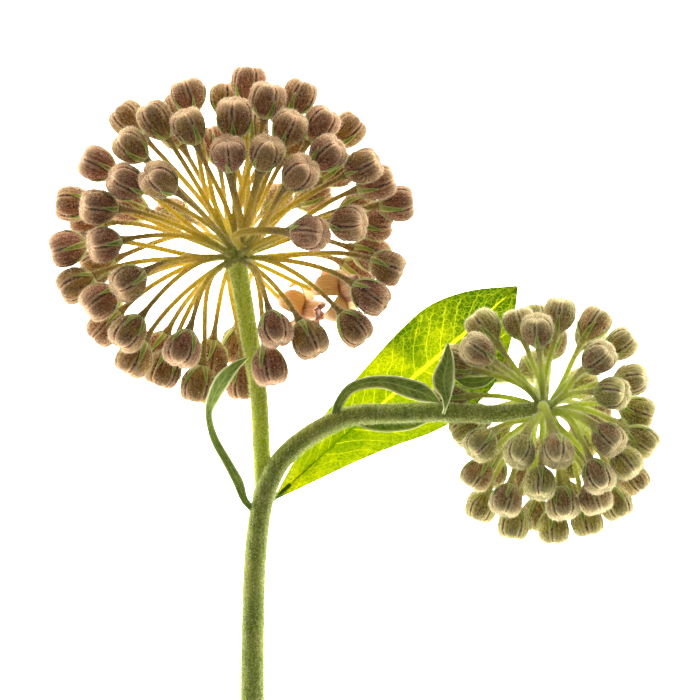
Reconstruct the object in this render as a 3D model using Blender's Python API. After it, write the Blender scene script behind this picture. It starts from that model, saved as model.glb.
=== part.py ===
"""A cut milkweed flower stem, lying on its side: two umbels of closed buds and their leaves.

The plan is in millimetres round the fork of the stem, with X to the right, Y along the stem
towards its tip and Z up from the surface that it lies on. The finished object is moved so that
its box stands on the origin, and its meshes are in metres.
"""

import math

import bmesh
import bpy
import numpy as np
from mathutils import Vector

MM = 0.001
GAP = 0.3  # clear space between neighbouring pieces, mm

# Stems: the middle line of each, then its radius at its start and at its end.
STEM_PATH = (
    (-1.4, -54.0, 2.5),
    (-1.2, -30.0, 8.8),
    (-0.5, -12.0, 13.2),
    (1.6, 0.0, 15.6),
    (6.6, 8.0, 17.0),
    (17.2, 14.4, 18.2),
    (28.4, 15.3, 18.9),
    (36.4, 15.6, 19.3),
)
STEM_RADII = (2.4, 1.85)
LEFT_PEDUNCLE_PATH = (
    (0.9, 0.4, 15.0),
    (0.6, 10.0, 16.8),
    (-0.1, 21.0, 19.2),
    (-2.1, 33.4, 21.8),
    (-3.9, 44.4, 23.4),
)
LEFT_PEDUNCLE_RADII = (1.75, 1.8)
RIGHT_PEDUNCLE_PATH = ((37.2, 15.6, 19.3), (45.0, 15.2, 19.5), (55.1, 15.5, 19.6))
RIGHT_PEDUNCLE_RADII = (1.85, 1.8)
STEM_SWELLING = 0.06  # how much thicker a stem is at both ends, over its radius
STEM_SIDES = 10

# Umbels. A plan lists each bud as (degrees round the ball, distance from its middle in mm).
HUB_RADIUS = 2.7
FLORET_SIDES = 5  # a bud has five petals, and so five sides
PEDICEL_FLARE = 1.7  # the pedicel's radius where it meets the bud, over its radius along the way
LEFT_UMBEL = {
    "name": "left",
    "hub": (-4.2, 46.6, 24.0),
    "middle": (-4.5, 50.3, 24.0),
    "reach": (33.4, 30.6),
    "spread": 0.97,
    "height": (18.0, 19.5),
    "deepest": 19.8,
    "sag": 0.42,
    "bud_radius": 3.6,
    "bud_length": 7.8,
    "pedicel_radius": 0.48,
    "hook": (-10.0, 3.0, 6.0),
    "sprays": 28,
    "front": (
        (3, 15), (7, 23.5), (45, 18.5), (42, 25.5), (71, 18), (64, 25), (91, 17), (90, 24),
        (112, 24.5), (143, 19), (152, 24.5), (138, 28), (125, 28.5), (167, 28.5), (183, 27),
        (203, 23.5), (205, 30.5), (222, 29), (245, 25), (285, 27), (294, 20.5), (306, 25.5),
        (323, 30.5), (337, 30), (349, 32), (29, 30), (53, 29), (76, 29),
    ),
    "rim": (
        (12, 34), (21, 31), (44, 31.5), (66, 31.5), (85, 31.5), (132, 32.5), (152, 32), (168, 34),
        (184, 34.5), (196, 34), (214, 32), (230, 32), (241, 30.5), (256, 31), (108, 31),
        (273, 29),
    ),
    "back": (
        (14, 26), (35, 25), (45, 11), (60, 23), (82, 23), (103, 20), (120, 26), (159, 14),
        (164, 23), (192, 29), (258, 25), (270, 22), (346, 26), (356, 28), (30, 18), (48, 29),
        (70, 29), (94, 29), (112, 29), (174, 31), (205, 30), (235, 28),
    ),
}
RIGHT_UMBEL = {
    "name": "right",
    "hub": (57.2, 15.6, 19.6),
    "middle": (58.6, 13.8, 19.6),
    "reach": (19.5, 22.8),
    "spread": 0.96,
    "height": (15.5, 16.0),
    "deepest": 15.8,
    "sag": 0.42,
    "bud_radius": 3.3,
    "bud_length": 7.0,
    "pedicel_radius": 0.5,
    "hook": (-1.0, 5.0, 4.0),
    "sprays": 18,
    "front": (
        (276, 6), (222, 9), (343, 12), (26, 13.5), (310, 14.5), (260, 13), (278, 17), (299, 18),
        (331, 17.5), (54, 16), (136, 21), (99, 19), (240, 19), (198, 15.5), (28, 18.5),
    ),
    "rim": (
        (6, 18), (348, 19), (325, 21), (308, 21.5), (290, 22), (272, 22), (250, 22.5), (231, 22.5),
        (216, 19), (48, 21), (66, 22), (86, 22), (109, 21.5), (124, 23.5), (150, 23), (177, 18.5),
    ),
    "back": (
        (45, 10), (128, 14), (300, 9), (340, 14), (250, 13), (90, 16), (20, 16), (285, 17),
        (200, 12), (318, 19), (262, 20), (222, 16), (12, 9), (65, 20), (352, 17), (112, 12),
        (158, 18), (140, 19), (98, 21), (270, 6), (325, 8), (180, 15),
    ),
}
BUD_RINGS = (0.0, 0.13, 0.5, 0.84)  # rings of a bud, as fractions of its length
BUD_GIRTH = (0.24, 0.7, 1.06, 0.9)  # its corners' radius at those rings, over bud_radius
MOST_REACH = 0.92  # of a ball's radius, in buds above and below its rim
RIM_SPREAD = 6.0  # how far above and below the middle the outermost buds stand
RIM_TURN = 2.4  # the step between them in that rise and fall, in radians
BUD_RAISE = 0.7  # how much of a bud's slope up or down from the hub its own axis keeps
SAG_RANGE = (0.1, 1.4)  # the share of the sag in buds that stand up and in buds that hang

# How the buds settle: each step's shares of the push that keeps florets apart.
SETTLE_STEPS = 200
SETTLE_CLEARANCE = 0.1  # beyond half of the gap
FLORET_PUSH = 0.45
OBSTACLE_PUSH = 0.6
MOST_PUSH = 0.6
BUD_SHARE = 0.4
BOW_SHARE = 0.35
ROOT_SHARE = 0.3
HOME_PULL = 0.03  # back towards the plan, seen from above
BOW_KEPT = 0.995
HANDLE = 0.33  # a pedicel's control points, as a share of its span from either end

# Two open flowers: where each stands on the left umbel's ball and how high, and where it faces.
FLOWERS = (
    ((314, 20), 8.0, (0.86, -0.12, 0.5)),
    ((334, 24), 16.5, (0.72, 0.34, 0.6)),
)
FLOWER_RADIUS = 4.6
FLOWER_DEPTH = 3.4

# Large leaf: its midrib, then the blade's width on either side of it at equal steps along it.
LARGE_LEAF_MIDRIB = (
    (3.7, -1.5, 13.4),
    (16.6, 10.2, 11.8),
    (28.5, 20.3, 10.2),
    (40.3, 30.4, 8.4),
    (52.2, 40.8, 6.6),
)
LARGE_LEAF_UPPER_WIDTHS = (0.4, 3.4, 5.7, 6.9, 8.0, 8.9, 8.8, 5.8, 0.2)
LARGE_LEAF_LOWER_WIDTHS = (0.4, 3.2, 5.8, 8.4, 11.2, 12.4, 11.6, 7.2, 0.2)
LARGE_LEAF_THICKNESS = 0.5
LARGE_LEAF_RIPPLE = 0.9
RIPPLE_TURN = 7.0  # the ripple along the blade, in radians from its base to its tip

# Folded leaves: for each, points along its middle, and its half width at each of them.
FOLDED_LEAVES = {
    "narrow_leaf": (
        ((-2.7, -2.2, 15.6), 0.7),
        ((-4.0, 1.4, 17.0), 1.0),
        ((-6.0, 5.2, 18.4), 0.9),
        ((-8.8, 10.4, 20.0), 0.8),
        ((-9.8, 15.2, 22.8), 0.7),
        ((-8.7, 18.8, 26.0), 1.2),
        ((-6.8, 22.2, 28.6), 1.5),
        ((-4.4, 24.8, 29.8), 0.9),
        ((-1.9, 26.5, 30.2), 0.15),
    ),
    "small_leaf": (
        ((16.3, 17.5, 19.4), 0.9),
        ((18.4, 20.2, 20.4), 1.0),
        ((21.6, 21.4, 21.0), 1.1),
        ((25.4, 21.6, 21.6), 1.3),
        ((29.4, 20.6, 22.0), 1.8),
        ((33.2, 19.3, 22.2), 1.7),
        ((36.2, 17.6, 22.2), 0.3),
    ),
    "upright_leaf": (
        ((37.4, 16.4, 23.0), 0.3),
        ((37.6, 18.8, 23.6), 1.0),
        ((37.1, 22.0, 24.2), 2.2),
        ((37.8, 25.6, 24.6), 1.4),
        ((38.0, 29.4, 24.4), 0.15),
    ),
    "under_leaf": (
        ((18.6, 13.9, 14.0), 0.3),
        ((23.0, 13.3, 13.9), 1.5),
        ((27.0, 13.3, 13.9), 1.7),
        ((31.0, 13.6, 14.0), 1.4),
        ((34.8, 14.2, 14.2), 0.2),
    ),
    "bract": (
        ((47.6, 22.8, 16.6), 0.3),
        ((45.0, 21.7, 16.6), 1.1),
        ((42.2, 21.5, 16.4), 1.2),
        ((39.6, 22.2, 16.0), 0.15),
    ),
}
LEAF_FOLD = 0.75  # how far a folded leaf's margins rise, over its half width
FOLDED_LEAF_THICKNESS = 0.6

# How finely each shape is made.
STEM_STEPS = 3  # rings to each stretch of a stem's path
STALK_STATIONS = (0.0, 0.25, 0.5, 0.75, 0.94)  # rings of a pedicel, as fractions of its length
HUB_RINGS = (0.0, 0.35, 0.7, 0.93)  # rings of a hub, as fractions of its depth
LARGE_LEAF_STEPS = 5
LARGE_LEAF_COLUMNS = 7
FOLDED_LEAF_STEPS = 3

# An open flower, ring by ring from its stalk: the petals' reach and height, then the same
# between two petals. The crown of hoods rises from the middle.
FLOWER_SIDES = 10
FLOWER_STATIONS = (0.0, 0.3, 0.6, 0.85, 0.97)
FLOWER_HANDLES = (0.4, 0.3)  # of its stalk, at the hub and at the flower
FLOWER_DROOP = 4.0
FLOWER_RINGS = (
    (1.0, -0.1, 0.9, 0.0),
    (FLOWER_RADIUS - 0.7, -FLOWER_DEPTH, 1.5, -0.2),
    (FLOWER_RADIUS, -FLOWER_DEPTH + 0.4, 2.1, 0.4),
    (2.2, 0.9, 1.9, 0.9),
    (2.7, 2.6, 2.1, 2.4),
    (2.0, 3.5, 1.5, 3.1),
)
FLOWER_MIDDLE_HEIGHT = 3.0

LOOKS = {
    "stem": ((0.20, 0.27, 0.07, 1.0), 0.75),
    "hub": ((0.24, 0.34, 0.05, 1.0), 0.75),
    "left bud": ((0.26, 0.16, 0.11, 1.0), 0.8),
    "right bud": ((0.30, 0.29, 0.12, 1.0), 0.8),
    "petal": ((0.75, 0.42, 0.28, 1.0), 0.6),
    "leaf": ((0.25, 0.46, 0.02, 1.0), 0.5),
    "leaf back": ((0.36, 0.46, 0.22, 1.0), 0.6),
}


def clear_scene():
    for obj in list(bpy.data.objects):
        bpy.data.objects.remove(obj, do_unlink=True)


def look(name):
    """The material called name, made the first time that it's asked for."""
    if name in bpy.data.materials:
        return bpy.data.materials[name]
    colour, roughness = LOOKS[name]
    material = bpy.data.materials.new(name)
    material.use_nodes = True
    shader = material.node_tree.nodes["Principled BSDF"]
    shader.inputs["Base Color"].default_value = colour
    shader.inputs["Roughness"].default_value = roughness
    shader.inputs["Metallic"].default_value = 0.0
    return material


def unit(vector):
    return vector / np.linalg.norm(vector, axis=-1, keepdims=True)


def smooth_path(points, steps):
    """Points along a Catmull-Rom curve through the given ones, with steps to each stretch."""
    points = np.array(points, float)
    ends = [2 * points[0] - points[1], *points, 2 * points[-1] - points[-2]]
    path = []
    for a, b, c, d in zip(ends, ends[1:], ends[2:], ends[3:]):
        for t in np.arange(steps) / steps:
            bend = 2 * a - 5 * b + 4 * c - d
            twist = 3 * b - a - 3 * c + d
            path.append(b + 0.5 * t * (c - a + t * (bend + t * twist)))
    return np.array([*path, points[-1]])


def sides_along(path, up=(0.0, 0.0, 1.0)):
    """Two unit vectors square to the path at each of its points, turning as little as they can."""
    along = unit(np.gradient(path, axis=0))
    side = np.cross(up, along[0])
    if np.linalg.norm(side) < 0.1:
        side = np.cross((0.0, 1.0, 0.0), along[0])
    pairs = []
    for tangent in along:
        side = unit(side - tangent * np.dot(side, tangent))
        pairs.append((side, np.cross(tangent, side)))
    return pairs


def tube_rings(path, radii, sides):
    """Rings of points round a path: a circle of the given radius at each of its points."""
    angles = 2 * math.pi * np.arange(sides) / sides
    return [
        [centre + radius * (math.cos(a) * u + math.sin(a) * v) for a in angles]
        for centre, radius, (u, v) in zip(path, radii, sides_along(path))
    ]


def solid_from_rings(name, rings, material, tip=None):
    """A closed mesh through rings of equal length. It ends in a flat face, or in a tip."""
    mesh = bmesh.new()
    loops = [[mesh.verts.new(Vector(point) * MM) for point in ring] for ring in rings]
    for lower, upper in zip(loops, loops[1:]):
        for i in range(len(lower)):
            j = (i + 1) % len(lower)
            mesh.faces.new((lower[i], lower[j], upper[j], upper[i]))
    mesh.faces.new(loops[0][::-1])
    if tip is None:
        mesh.faces.new(loops[-1])
    else:
        top = mesh.verts.new(Vector(tip) * MM)
        last = loops[-1]
        for i in range(len(last)):
            mesh.faces.new((last[i], last[(i + 1) % len(last)], top))
    bmesh.ops.recalc_face_normals(mesh, faces=mesh.faces)
    return finished(name, mesh, material)


def finished(name, mesh, material):
    data = bpy.data.meshes.new(name)
    mesh.to_mesh(data)
    mesh.free()
    data.shade_smooth()
    data.set_sharp_from_angle(angle=math.radians(60))
    obj = bpy.data.objects.new(name, data)
    data.materials.append(look(material))
    bpy.context.scene.collection.objects.link(obj)
    return obj


def make_helper(obj):
    """Keeps an object as another one's cutter or other half, out of the finished part."""
    obj.hide_render = True
    obj.display_type = "WIRE"


def add_boolean(obj, other, operation):
    make_helper(other)
    boolean = obj.modifiers.new(operation.title(), "BOOLEAN")
    boolean.operation = operation
    boolean.object = other
    boolean.solver = "EXACT"


# --- Where the buds go ---


def plan_centres(umbel):
    """The middle of each bud: the plan's place seen from above, at its height on the ball."""
    middle = np.array(umbel["middle"])
    centres = []
    for part, rise in (("front", 1.0), ("rim", 0.0), ("back", -1.0)):
        for place, (turn, reach) in enumerate(umbel[part]):
            angle = math.radians(turn)
            flat = reach * umbel["spread"] * np.array((math.cos(angle), math.sin(angle)))
            share = min(MOST_REACH, np.linalg.norm(flat / umbel["reach"]))
            height = umbel["height"][rise < 0] * math.sqrt(1 - share * share)
            lift = rise * height if rise else RIM_SPREAD * math.sin(RIM_TURN * place)
            lift = max(lift, -umbel["deepest"])
            centres.append(middle + (*flat, lift))
    return np.array(centres)


def group_into_sprays(directions, count):
    """Shares the buds out among sprays of neighbours, one or two or three to a spray."""
    largest = math.ceil(len(directions) / count)
    free = list(range(len(directions)))
    sprays = []
    while free:
        first = free.pop(0)
        spray = [first]
        wanted = min(largest, math.ceil((len(free) + 1) / max(1, count - len(sprays))))
        while len(spray) < wanted and free:
            nearest = max(free, key=lambda i: directions[i] @ directions[first])
            free.remove(nearest)
            spray.append(nearest)
        sprays.append(spray)
    return sprays


def bezier(start, first, second, end, t):
    t = np.asarray(t)[:, None]
    s = 1 - t
    return s**3 * start + 3 * s * s * t * first + 3 * s * t * t * second + t**3 * end


class Umbel:
    """The settled layout of one umbel: its sprays, and each bud's place and its pedicel's curve."""

    SPOTS = np.linspace(0.0, 0.94, 9)  # where along a pedicel its clear space is kept

    def __init__(self, plan, obstacles):
        self.plan = plan
        self.hub = np.array(plan["hub"])
        self.centres = plan_centres(plan)
        self.home = self.centres.copy()
        self.bow = np.zeros_like(self.centres)
        self.sprays = group_into_sprays(unit(self.centres - self.hub), plan["sprays"])
        self.spray_of = np.empty(len(self.centres), int)
        for number, spray in enumerate(self.sprays):
            self.spray_of[spray] = number
        self.roots = np.array([self.root_direction(spray) for spray in self.sprays])
        self.settle(obstacles)

    def sag(self, outwards):
        """How far each bud hangs: hardly at all where it stands up from the hub."""
        least, most = SAG_RANGE
        share = least + (most - least) * (1 - outwards[:, 1:2]) / 2
        return self.plan["sag"] * share * np.array((0.0, 1.0, 0.0))

    def root_direction(self, spray):
        """The way that a spray leaves the hub, lifted against the sag of its pedicels."""
        outwards = unit(self.centres[spray] - self.hub)
        return unit((outwards + self.sag(outwards)).mean(axis=0))

    def axes(self):
        """The way that each bud points: outwards from the hub, levelled and sagging."""
        outwards = unit(self.centres - self.hub)
        return unit(outwards * (1.0, 1.0, BUD_RAISE) - self.sag(outwards))

    def curves(self):
        """The four control points of every pedicel."""
        axes = self.axes()
        starts = self.hub + (HUB_RADIUS + GAP) * self.roots[self.spray_of]
        ends = self.centres - axes * self.plan["bud_length"] / 2
        spans = np.linalg.norm(ends - starts, axis=1, keepdims=True)
        firsts = starts + HANDLE * spans * self.roots[self.spray_of] + self.bow / 2
        firsts[0] += self.plan["hook"]
        seconds = ends - HANDLE * spans * axes + self.bow
        return starts, firsts, seconds, ends

    def spheres(self):
        """Balls that fill each floret: along its pedicel, then three in its bud."""
        starts, firsts, seconds, ends = self.curves()
        t = self.SPOTS[None, :, None]
        s = 1 - t
        along = s**3 * starts[:, None] + 3 * s * s * t * firsts[:, None]
        along = along + 3 * s * t * t * seconds[:, None] + t**3 * ends[:, None]
        radius, length = self.plan["bud_radius"], self.plan["bud_length"]
        offsets = np.array((-0.17, 0.0, 0.2))[None, :, None] * length
        buds = self.centres[:, None] + offsets * self.axes()[:, None]
        pedicel = self.plan["pedicel_radius"]
        radii = [pedicel] * len(self.SPOTS) + [0.84 * radius, radius, 0.86 * radius]
        return np.concatenate([along, buds], axis=1), np.array(radii) + GAP / 2 + SETTLE_CLEARANCE

    def settle(self, obstacles):
        """Moves buds and pedicels apart until each has its own space, near its place in the plan."""
        t = self.SPOTS
        bud_pull = np.concatenate([t**3 + 3 * t * t * (1 - t), np.ones(3)])
        bow_pull = np.concatenate([3 * t * (1 - t), np.zeros(3)])
        root_pull = np.concatenate([(1 - t) ** 2, np.zeros(3)])
        blocks = np.array([place for place, _ in obstacles])
        block_radii = np.array([radius for _, radius in obstacles]) + GAP / 2
        count = len(self.centres)
        each = len(bud_pull)
        floret = np.repeat(np.arange(count), each)
        near_root = np.tile(np.concatenate([t < 0.5, np.zeros(3, bool)]), count)
        spray = self.spray_of[floret]
        ignored = floret[:, None] == floret[None]
        ignored |= (spray[:, None] == spray[None]) & near_root[:, None] & near_root[None]
        for _ in range(SETTLE_STEPS):
            places, radii = self.spheres()
            flat = places.reshape(-1, 3)
            sizes = np.tile(radii, count)
            away = flat[:, None] - flat[None]
            apart = np.linalg.norm(away, axis=2) + 1e-9
            depth = np.where(ignored, 0, np.clip(sizes[:, None] + sizes[None] - apart, 0, None))
            push = (away / apart[..., None] * depth[..., None]).sum(axis=1) * FLORET_PUSH
            away = flat[:, None] - blocks[None]
            apart = np.linalg.norm(away, axis=2) + 1e-9
            depth = np.clip(sizes[:, None] + block_radii[None] - apart, 0, None)
            push += (away / apart[..., None] * depth[..., None]).sum(axis=1) * OBSTACLE_PUSH
            push[:, 2] += np.clip(sizes - GAP / 2 - flat[:, 2], 0, None)
            push = push.reshape(count, each, 3)
            limit = np.linalg.norm(push, axis=2, keepdims=True)
            push *= np.minimum(1, MOST_PUSH / (limit + 1e-9))
            self.centres += (push * bud_pull[:, None]).sum(axis=1) * BUD_SHARE
            self.centres[:, :2] += HOME_PULL * (self.home - self.centres)[:, :2]
            self.bow += (push * bow_pull[:, None]).sum(axis=1) * BOW_SHARE
            self.bow *= BOW_KEPT
            turn = (push * root_pull[:, None]).sum(axis=1) / HUB_RADIUS * ROOT_SHARE
            for number, members in enumerate(self.sprays):
                self.roots[number] = unit(self.roots[number] + turn[members].mean(axis=0))


# --- Pieces ---


def stem_radii(count, radii):
    """A stem's radius at each of its rings: even from one end to the other, and swollen at both."""
    t = np.linspace(0, 1, count)
    return np.interp(t, (0, 1), radii) * (1 + STEM_SWELLING * (2 * t - 1) ** 4)


def build_stem(name, path, radii):
    path = smooth_path(path, STEM_STEPS)
    rings = tube_rings(path, stem_radii(len(path), radii), STEM_SIDES)
    return solid_from_rings(name, rings, "stem")


def build_stems():
    """The main stem, and a peduncle to each umbel, cut off just clear of the stem."""
    build_stem("main_stem", STEM_PATH, STEM_RADII)
    left = build_stem("left_peduncle", LEFT_PEDUNCLE_PATH, LEFT_PEDUNCLE_RADII)
    space = build_stem("space_round_main_stem", STEM_PATH, np.array(STEM_RADII) + GAP)
    add_boolean(left, space, "DIFFERENCE")
    build_stem("right_peduncle", RIGHT_PEDUNCLE_PATH, RIGHT_PEDUNCLE_RADII)


def build_hub(umbel, peduncle_end):
    """The knob at a peduncle's end that the pedicels grow from, flat where it meets the stem."""
    hub = np.array(umbel["hub"])
    towards = unit(hub - np.array(peduncle_end))
    start = np.array(peduncle_end) + GAP * towards
    depth = HUB_RADIUS + np.linalg.norm(hub - start)
    path = start + np.outer(np.array(HUB_RINGS) * depth, towards)
    from_hub = np.linalg.norm(path - hub, axis=1)
    radii = np.sqrt(HUB_RADIUS**2 - from_hub**2)
    rings = tube_rings(path, radii, STEM_SIDES)
    solid_from_rings(umbel["name"] + "_receptacle", rings, "hub", tip=start + depth * towards)


def floret_solid(name, umbel, number, curves, axis):
    """One pedicel and its bud, as one closed surface from the hub to the bud's tip."""
    plan = umbel.plan
    start, first, second, end = (points[number] for points in curves)
    stalk = bezier(start, first, second, end, STALK_STATIONS)
    bud = end + np.outer(np.array(BUD_RINGS) * plan["bud_length"], axis)
    pedicel = plan["pedicel_radius"]
    radii = [pedicel] * len(stalk) + [girth * plan["bud_radius"] for girth in BUD_GIRTH]
    radii[len(stalk)] = pedicel * PEDICEL_FLARE
    rings = tube_rings(np.vstack([stalk, bud]), radii, FLORET_SIDES)
    tip = end + plan["bud_length"] * axis
    return solid_from_rings(name, rings, plan["name"] + " bud", tip=tip)


def build_umbel(umbel):
    """Every spray of an umbel: florets that grow from one spot on the hub, joined there."""
    curves = umbel.curves()
    axes = umbel.axes()
    for place, spray in enumerate(umbel.sprays, start=1):
        name = f"{umbel.plan['name']}_bud_spray_{place:02d}"
        first, *others = [
            floret_solid(name if i == 0 else f"{name}_half_{i}", umbel, number, curves, axes[number])
            for i, number in enumerate(spray)
        ]
        for other in others:
            add_boolean(first, other, "UNION")


def flower_centre(place):
    """Where an open flower stands, among the lowest buds of the left umbel."""
    (turn, reach), height, _ = place
    angle = math.radians(turn)
    across, along, _ = LEFT_UMBEL["middle"]
    return np.array((across + reach * math.cos(angle), along + reach * math.sin(angle), height))


def build_flower(name, place):
    """An open flower: five petals folded back along its pedicel, and a crown of five hoods."""
    centre = flower_centre(place)
    facing = unit(np.array(place[2]))
    hub = np.array(LEFT_UMBEL["hub"])
    root = unit(centre - hub - np.array((0.0, 0.0, FLOWER_DROOP)))
    start = hub + (HUB_RADIUS + GAP) * root
    span = np.linalg.norm(centre - start)
    first = start + FLOWER_HANDLES[0] * span * root
    second = centre - FLOWER_HANDLES[1] * span * facing
    stalk = bezier(start, first, second, centre, FLOWER_STATIONS)
    pedicel = LEFT_UMBEL["pedicel_radius"]
    rings = tube_rings(stalk, [pedicel] * len(stalk), FLOWER_SIDES)
    u, v = sides_along(stalk)[-1]
    for out, up, out_between, up_between in FLOWER_RINGS:
        ring = []
        for i in range(FLOWER_SIDES):
            angle = 2 * math.pi * i / FLOWER_SIDES
            reach, height = (out_between, up_between) if i % 2 else (out, up)
            spoke = math.cos(angle) * u + math.sin(angle) * v
            ring.append(centre + reach * spoke + height * facing)
        rings.append(ring)
    solid_from_rings(name, rings, "petal", tip=centre + FLOWER_MIDDLE_HEIGHT * facing)


def widths_along(widths, count):
    """A smooth run of widths at count even steps, from a few given ones."""
    steps = 12
    curve = smooth_path([(i, width) for i, width in enumerate(widths)], steps)
    return np.interp(np.linspace(0, len(widths) - 1, count), curve[:, 0], curve[:, 1])


def large_leaf_rows(steps, shares):
    """Points of the large leaf's blade, in rows across it from its base to its tip."""
    rib = smooth_path(LARGE_LEAF_MIDRIB, steps)
    upper = widths_along(LARGE_LEAF_UPPER_WIDTHS, len(rib))
    lower = widths_along(LARGE_LEAF_LOWER_WIDTHS, len(rib))
    tangents = unit(np.gradient(rib, axis=0))
    rows = []
    for i, (centre, tangent) in enumerate(zip(rib, tangents)):
        turn = RIPPLE_TURN * i / (len(rib) - 1)
        side = unit(np.cross((0.0, 0.0, 1.0), tangent))
        row = []
        for share in shares:
            width = upper[i] if share > 0 else lower[i]
            point = centre + side * share * width
            point[2] += LARGE_LEAF_RIPPLE * (abs(share) * math.sin(turn + 2 * share) + share**2)
            row.append(point)
        rows.append(row)
    return np.array(rows)


def build_large_leaf():
    """A broad, slightly rippled blade, thickened to a closed solid."""
    mesh = bmesh.new()
    rows = [
        [mesh.verts.new(Vector(point) * MM) for point in row]
        for row in large_leaf_rows(LARGE_LEAF_STEPS, np.linspace(-1, 1, LARGE_LEAF_COLUMNS))
    ]
    for lower, upper in zip(rows, rows[1:]):
        for i in range(len(lower) - 1):
            mesh.faces.new((lower[i], lower[i + 1], upper[i + 1], upper[i]))
    bmesh.ops.recalc_face_normals(mesh, faces=mesh.faces)
    leaf = finished("large_leaf", mesh, "leaf")
    thickness = leaf.modifiers.new("Thickness", "SOLIDIFY")
    thickness.thickness = LARGE_LEAF_THICKNESS * MM
    thickness.offset = 0.0


def build_folded_leaf(name, outline):
    """A narrow leaf folded along its midrib, so that it is V-shaped across."""
    middle = smooth_path([point for point, _ in outline], FOLDED_LEAF_STEPS)
    widths = widths_along([width for _, width in outline], len(middle))
    along = unit(np.gradient(middle, axis=0))
    half = FOLDED_LEAF_THICKNESS / 2
    rings = []
    for centre, width, tangent in zip(middle, widths, along):
        side = unit(np.cross((0.0, 0.0, 1.0), tangent))
        up = np.cross(tangent, side)
        margin = up * LEAF_FOLD * width
        rings.append([
            centre - up * half,
            centre - side * width + margin - up * half,
            centre - side * width + margin + up * half,
            centre + up * half,
            centre + side * width + margin + up * half,
            centre + side * width + margin - up * half,
        ])
    solid_from_rings(name, rings, "leaf back")


def obstacle_line(path, radii, step=1.2):
    """Balls along a stem or a leaf that the buds and pedicels keep clear of."""
    line = smooth_path(path, 12)
    sizes = np.interp(np.linspace(0, 1, len(line)), np.linspace(0, 1, len(radii)), radii)
    kept = [0]
    for i, point in enumerate(line):
        if np.linalg.norm(point - line[kept[-1]]) > step:
            kept.append(i)
    return [(line[i], sizes[i]) for i in kept]


def umbel_obstacles():
    spots = obstacle_line(LEFT_PEDUNCLE_PATH, LEFT_PEDUNCLE_RADII)
    spots += obstacle_line(RIGHT_PEDUNCLE_PATH, RIGHT_PEDUNCLE_RADII)
    spots += obstacle_line(STEM_PATH, STEM_RADII)
    for outline in FOLDED_LEAVES.values():
        path, half_widths = zip(*outline)
        spots += obstacle_line(path, np.array(half_widths) * (1 + LEAF_FOLD / 2))
    for row in large_leaf_rows(7, np.linspace(-1, 1, 13)):
        spots += [(point, 2 * LARGE_LEAF_THICKNESS) for point in row]
    spots += [(umbel["hub"], HUB_RADIUS) for umbel in (LEFT_UMBEL, RIGHT_UMBEL)]
    for place in FLOWERS:
        spots.append((flower_centre(place), FLOWER_RADIUS))
    return spots


def stand_on_origin():
    """Moves every object so that the finished part's box stands on the origin."""
    bpy.context.view_layer.update()
    graph = bpy.context.evaluated_depsgraph_get()
    shown = [obj for obj in bpy.data.objects if not obj.hide_render]
    points = [
        vertex.co for obj in shown for vertex in obj.evaluated_get(graph).to_mesh().vertices
    ]
    points = np.array(points)
    low, high = points.min(axis=0), points.max(axis=0)
    shift = Vector((-(low[0] + high[0]) / 2, -(low[1] + high[1]) / 2, -low[2]))
    for obj in bpy.data.objects:
        obj.location = shift


def main():
    clear_scene()
    build_stems()
    build_hub(LEFT_UMBEL, LEFT_PEDUNCLE_PATH[-1])
    build_hub(RIGHT_UMBEL, RIGHT_PEDUNCLE_PATH[-1])
    obstacles = umbel_obstacles()
    for plan in (LEFT_UMBEL, RIGHT_UMBEL):
        build_umbel(Umbel(plan, obstacles))
    for number, place in enumerate(FLOWERS, start=1):
        build_flower(f"open_flower_{number}", place)
    build_large_leaf()
    for name, outline in FOLDED_LEAVES.items():
        build_folded_leaf(name, outline)
    stand_on_origin()


main()
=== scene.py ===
"""Looks for the cut milkweed flower stem: downy buds on fine pedicels, net-veined leaves, a pale floor.

Shapes are worked out in the plan's millimetres, with the fork of the stem near the origin, and
then moved to where the frame's own main stem is.
"""

import math

import bpy
import numpy as np
from mathutils import Matrix, Vector


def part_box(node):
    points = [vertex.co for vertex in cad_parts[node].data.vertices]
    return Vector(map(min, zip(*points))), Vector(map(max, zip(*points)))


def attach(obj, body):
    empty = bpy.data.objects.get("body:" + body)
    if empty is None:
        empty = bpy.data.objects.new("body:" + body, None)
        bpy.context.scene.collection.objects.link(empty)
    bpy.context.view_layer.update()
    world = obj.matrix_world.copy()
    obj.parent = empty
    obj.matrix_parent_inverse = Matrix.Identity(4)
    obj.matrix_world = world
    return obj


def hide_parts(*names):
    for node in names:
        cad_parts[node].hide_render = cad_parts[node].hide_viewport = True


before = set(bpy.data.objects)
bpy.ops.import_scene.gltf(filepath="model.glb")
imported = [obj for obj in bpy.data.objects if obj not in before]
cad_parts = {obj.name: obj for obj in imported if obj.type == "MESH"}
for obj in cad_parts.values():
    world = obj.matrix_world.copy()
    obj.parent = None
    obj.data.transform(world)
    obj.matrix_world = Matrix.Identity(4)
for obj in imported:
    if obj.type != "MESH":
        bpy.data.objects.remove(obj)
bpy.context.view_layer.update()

MM = 0.001

# --- The plan, as the part has it ---

GAP = 0.3  # clear space between neighbouring pieces, mm

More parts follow.
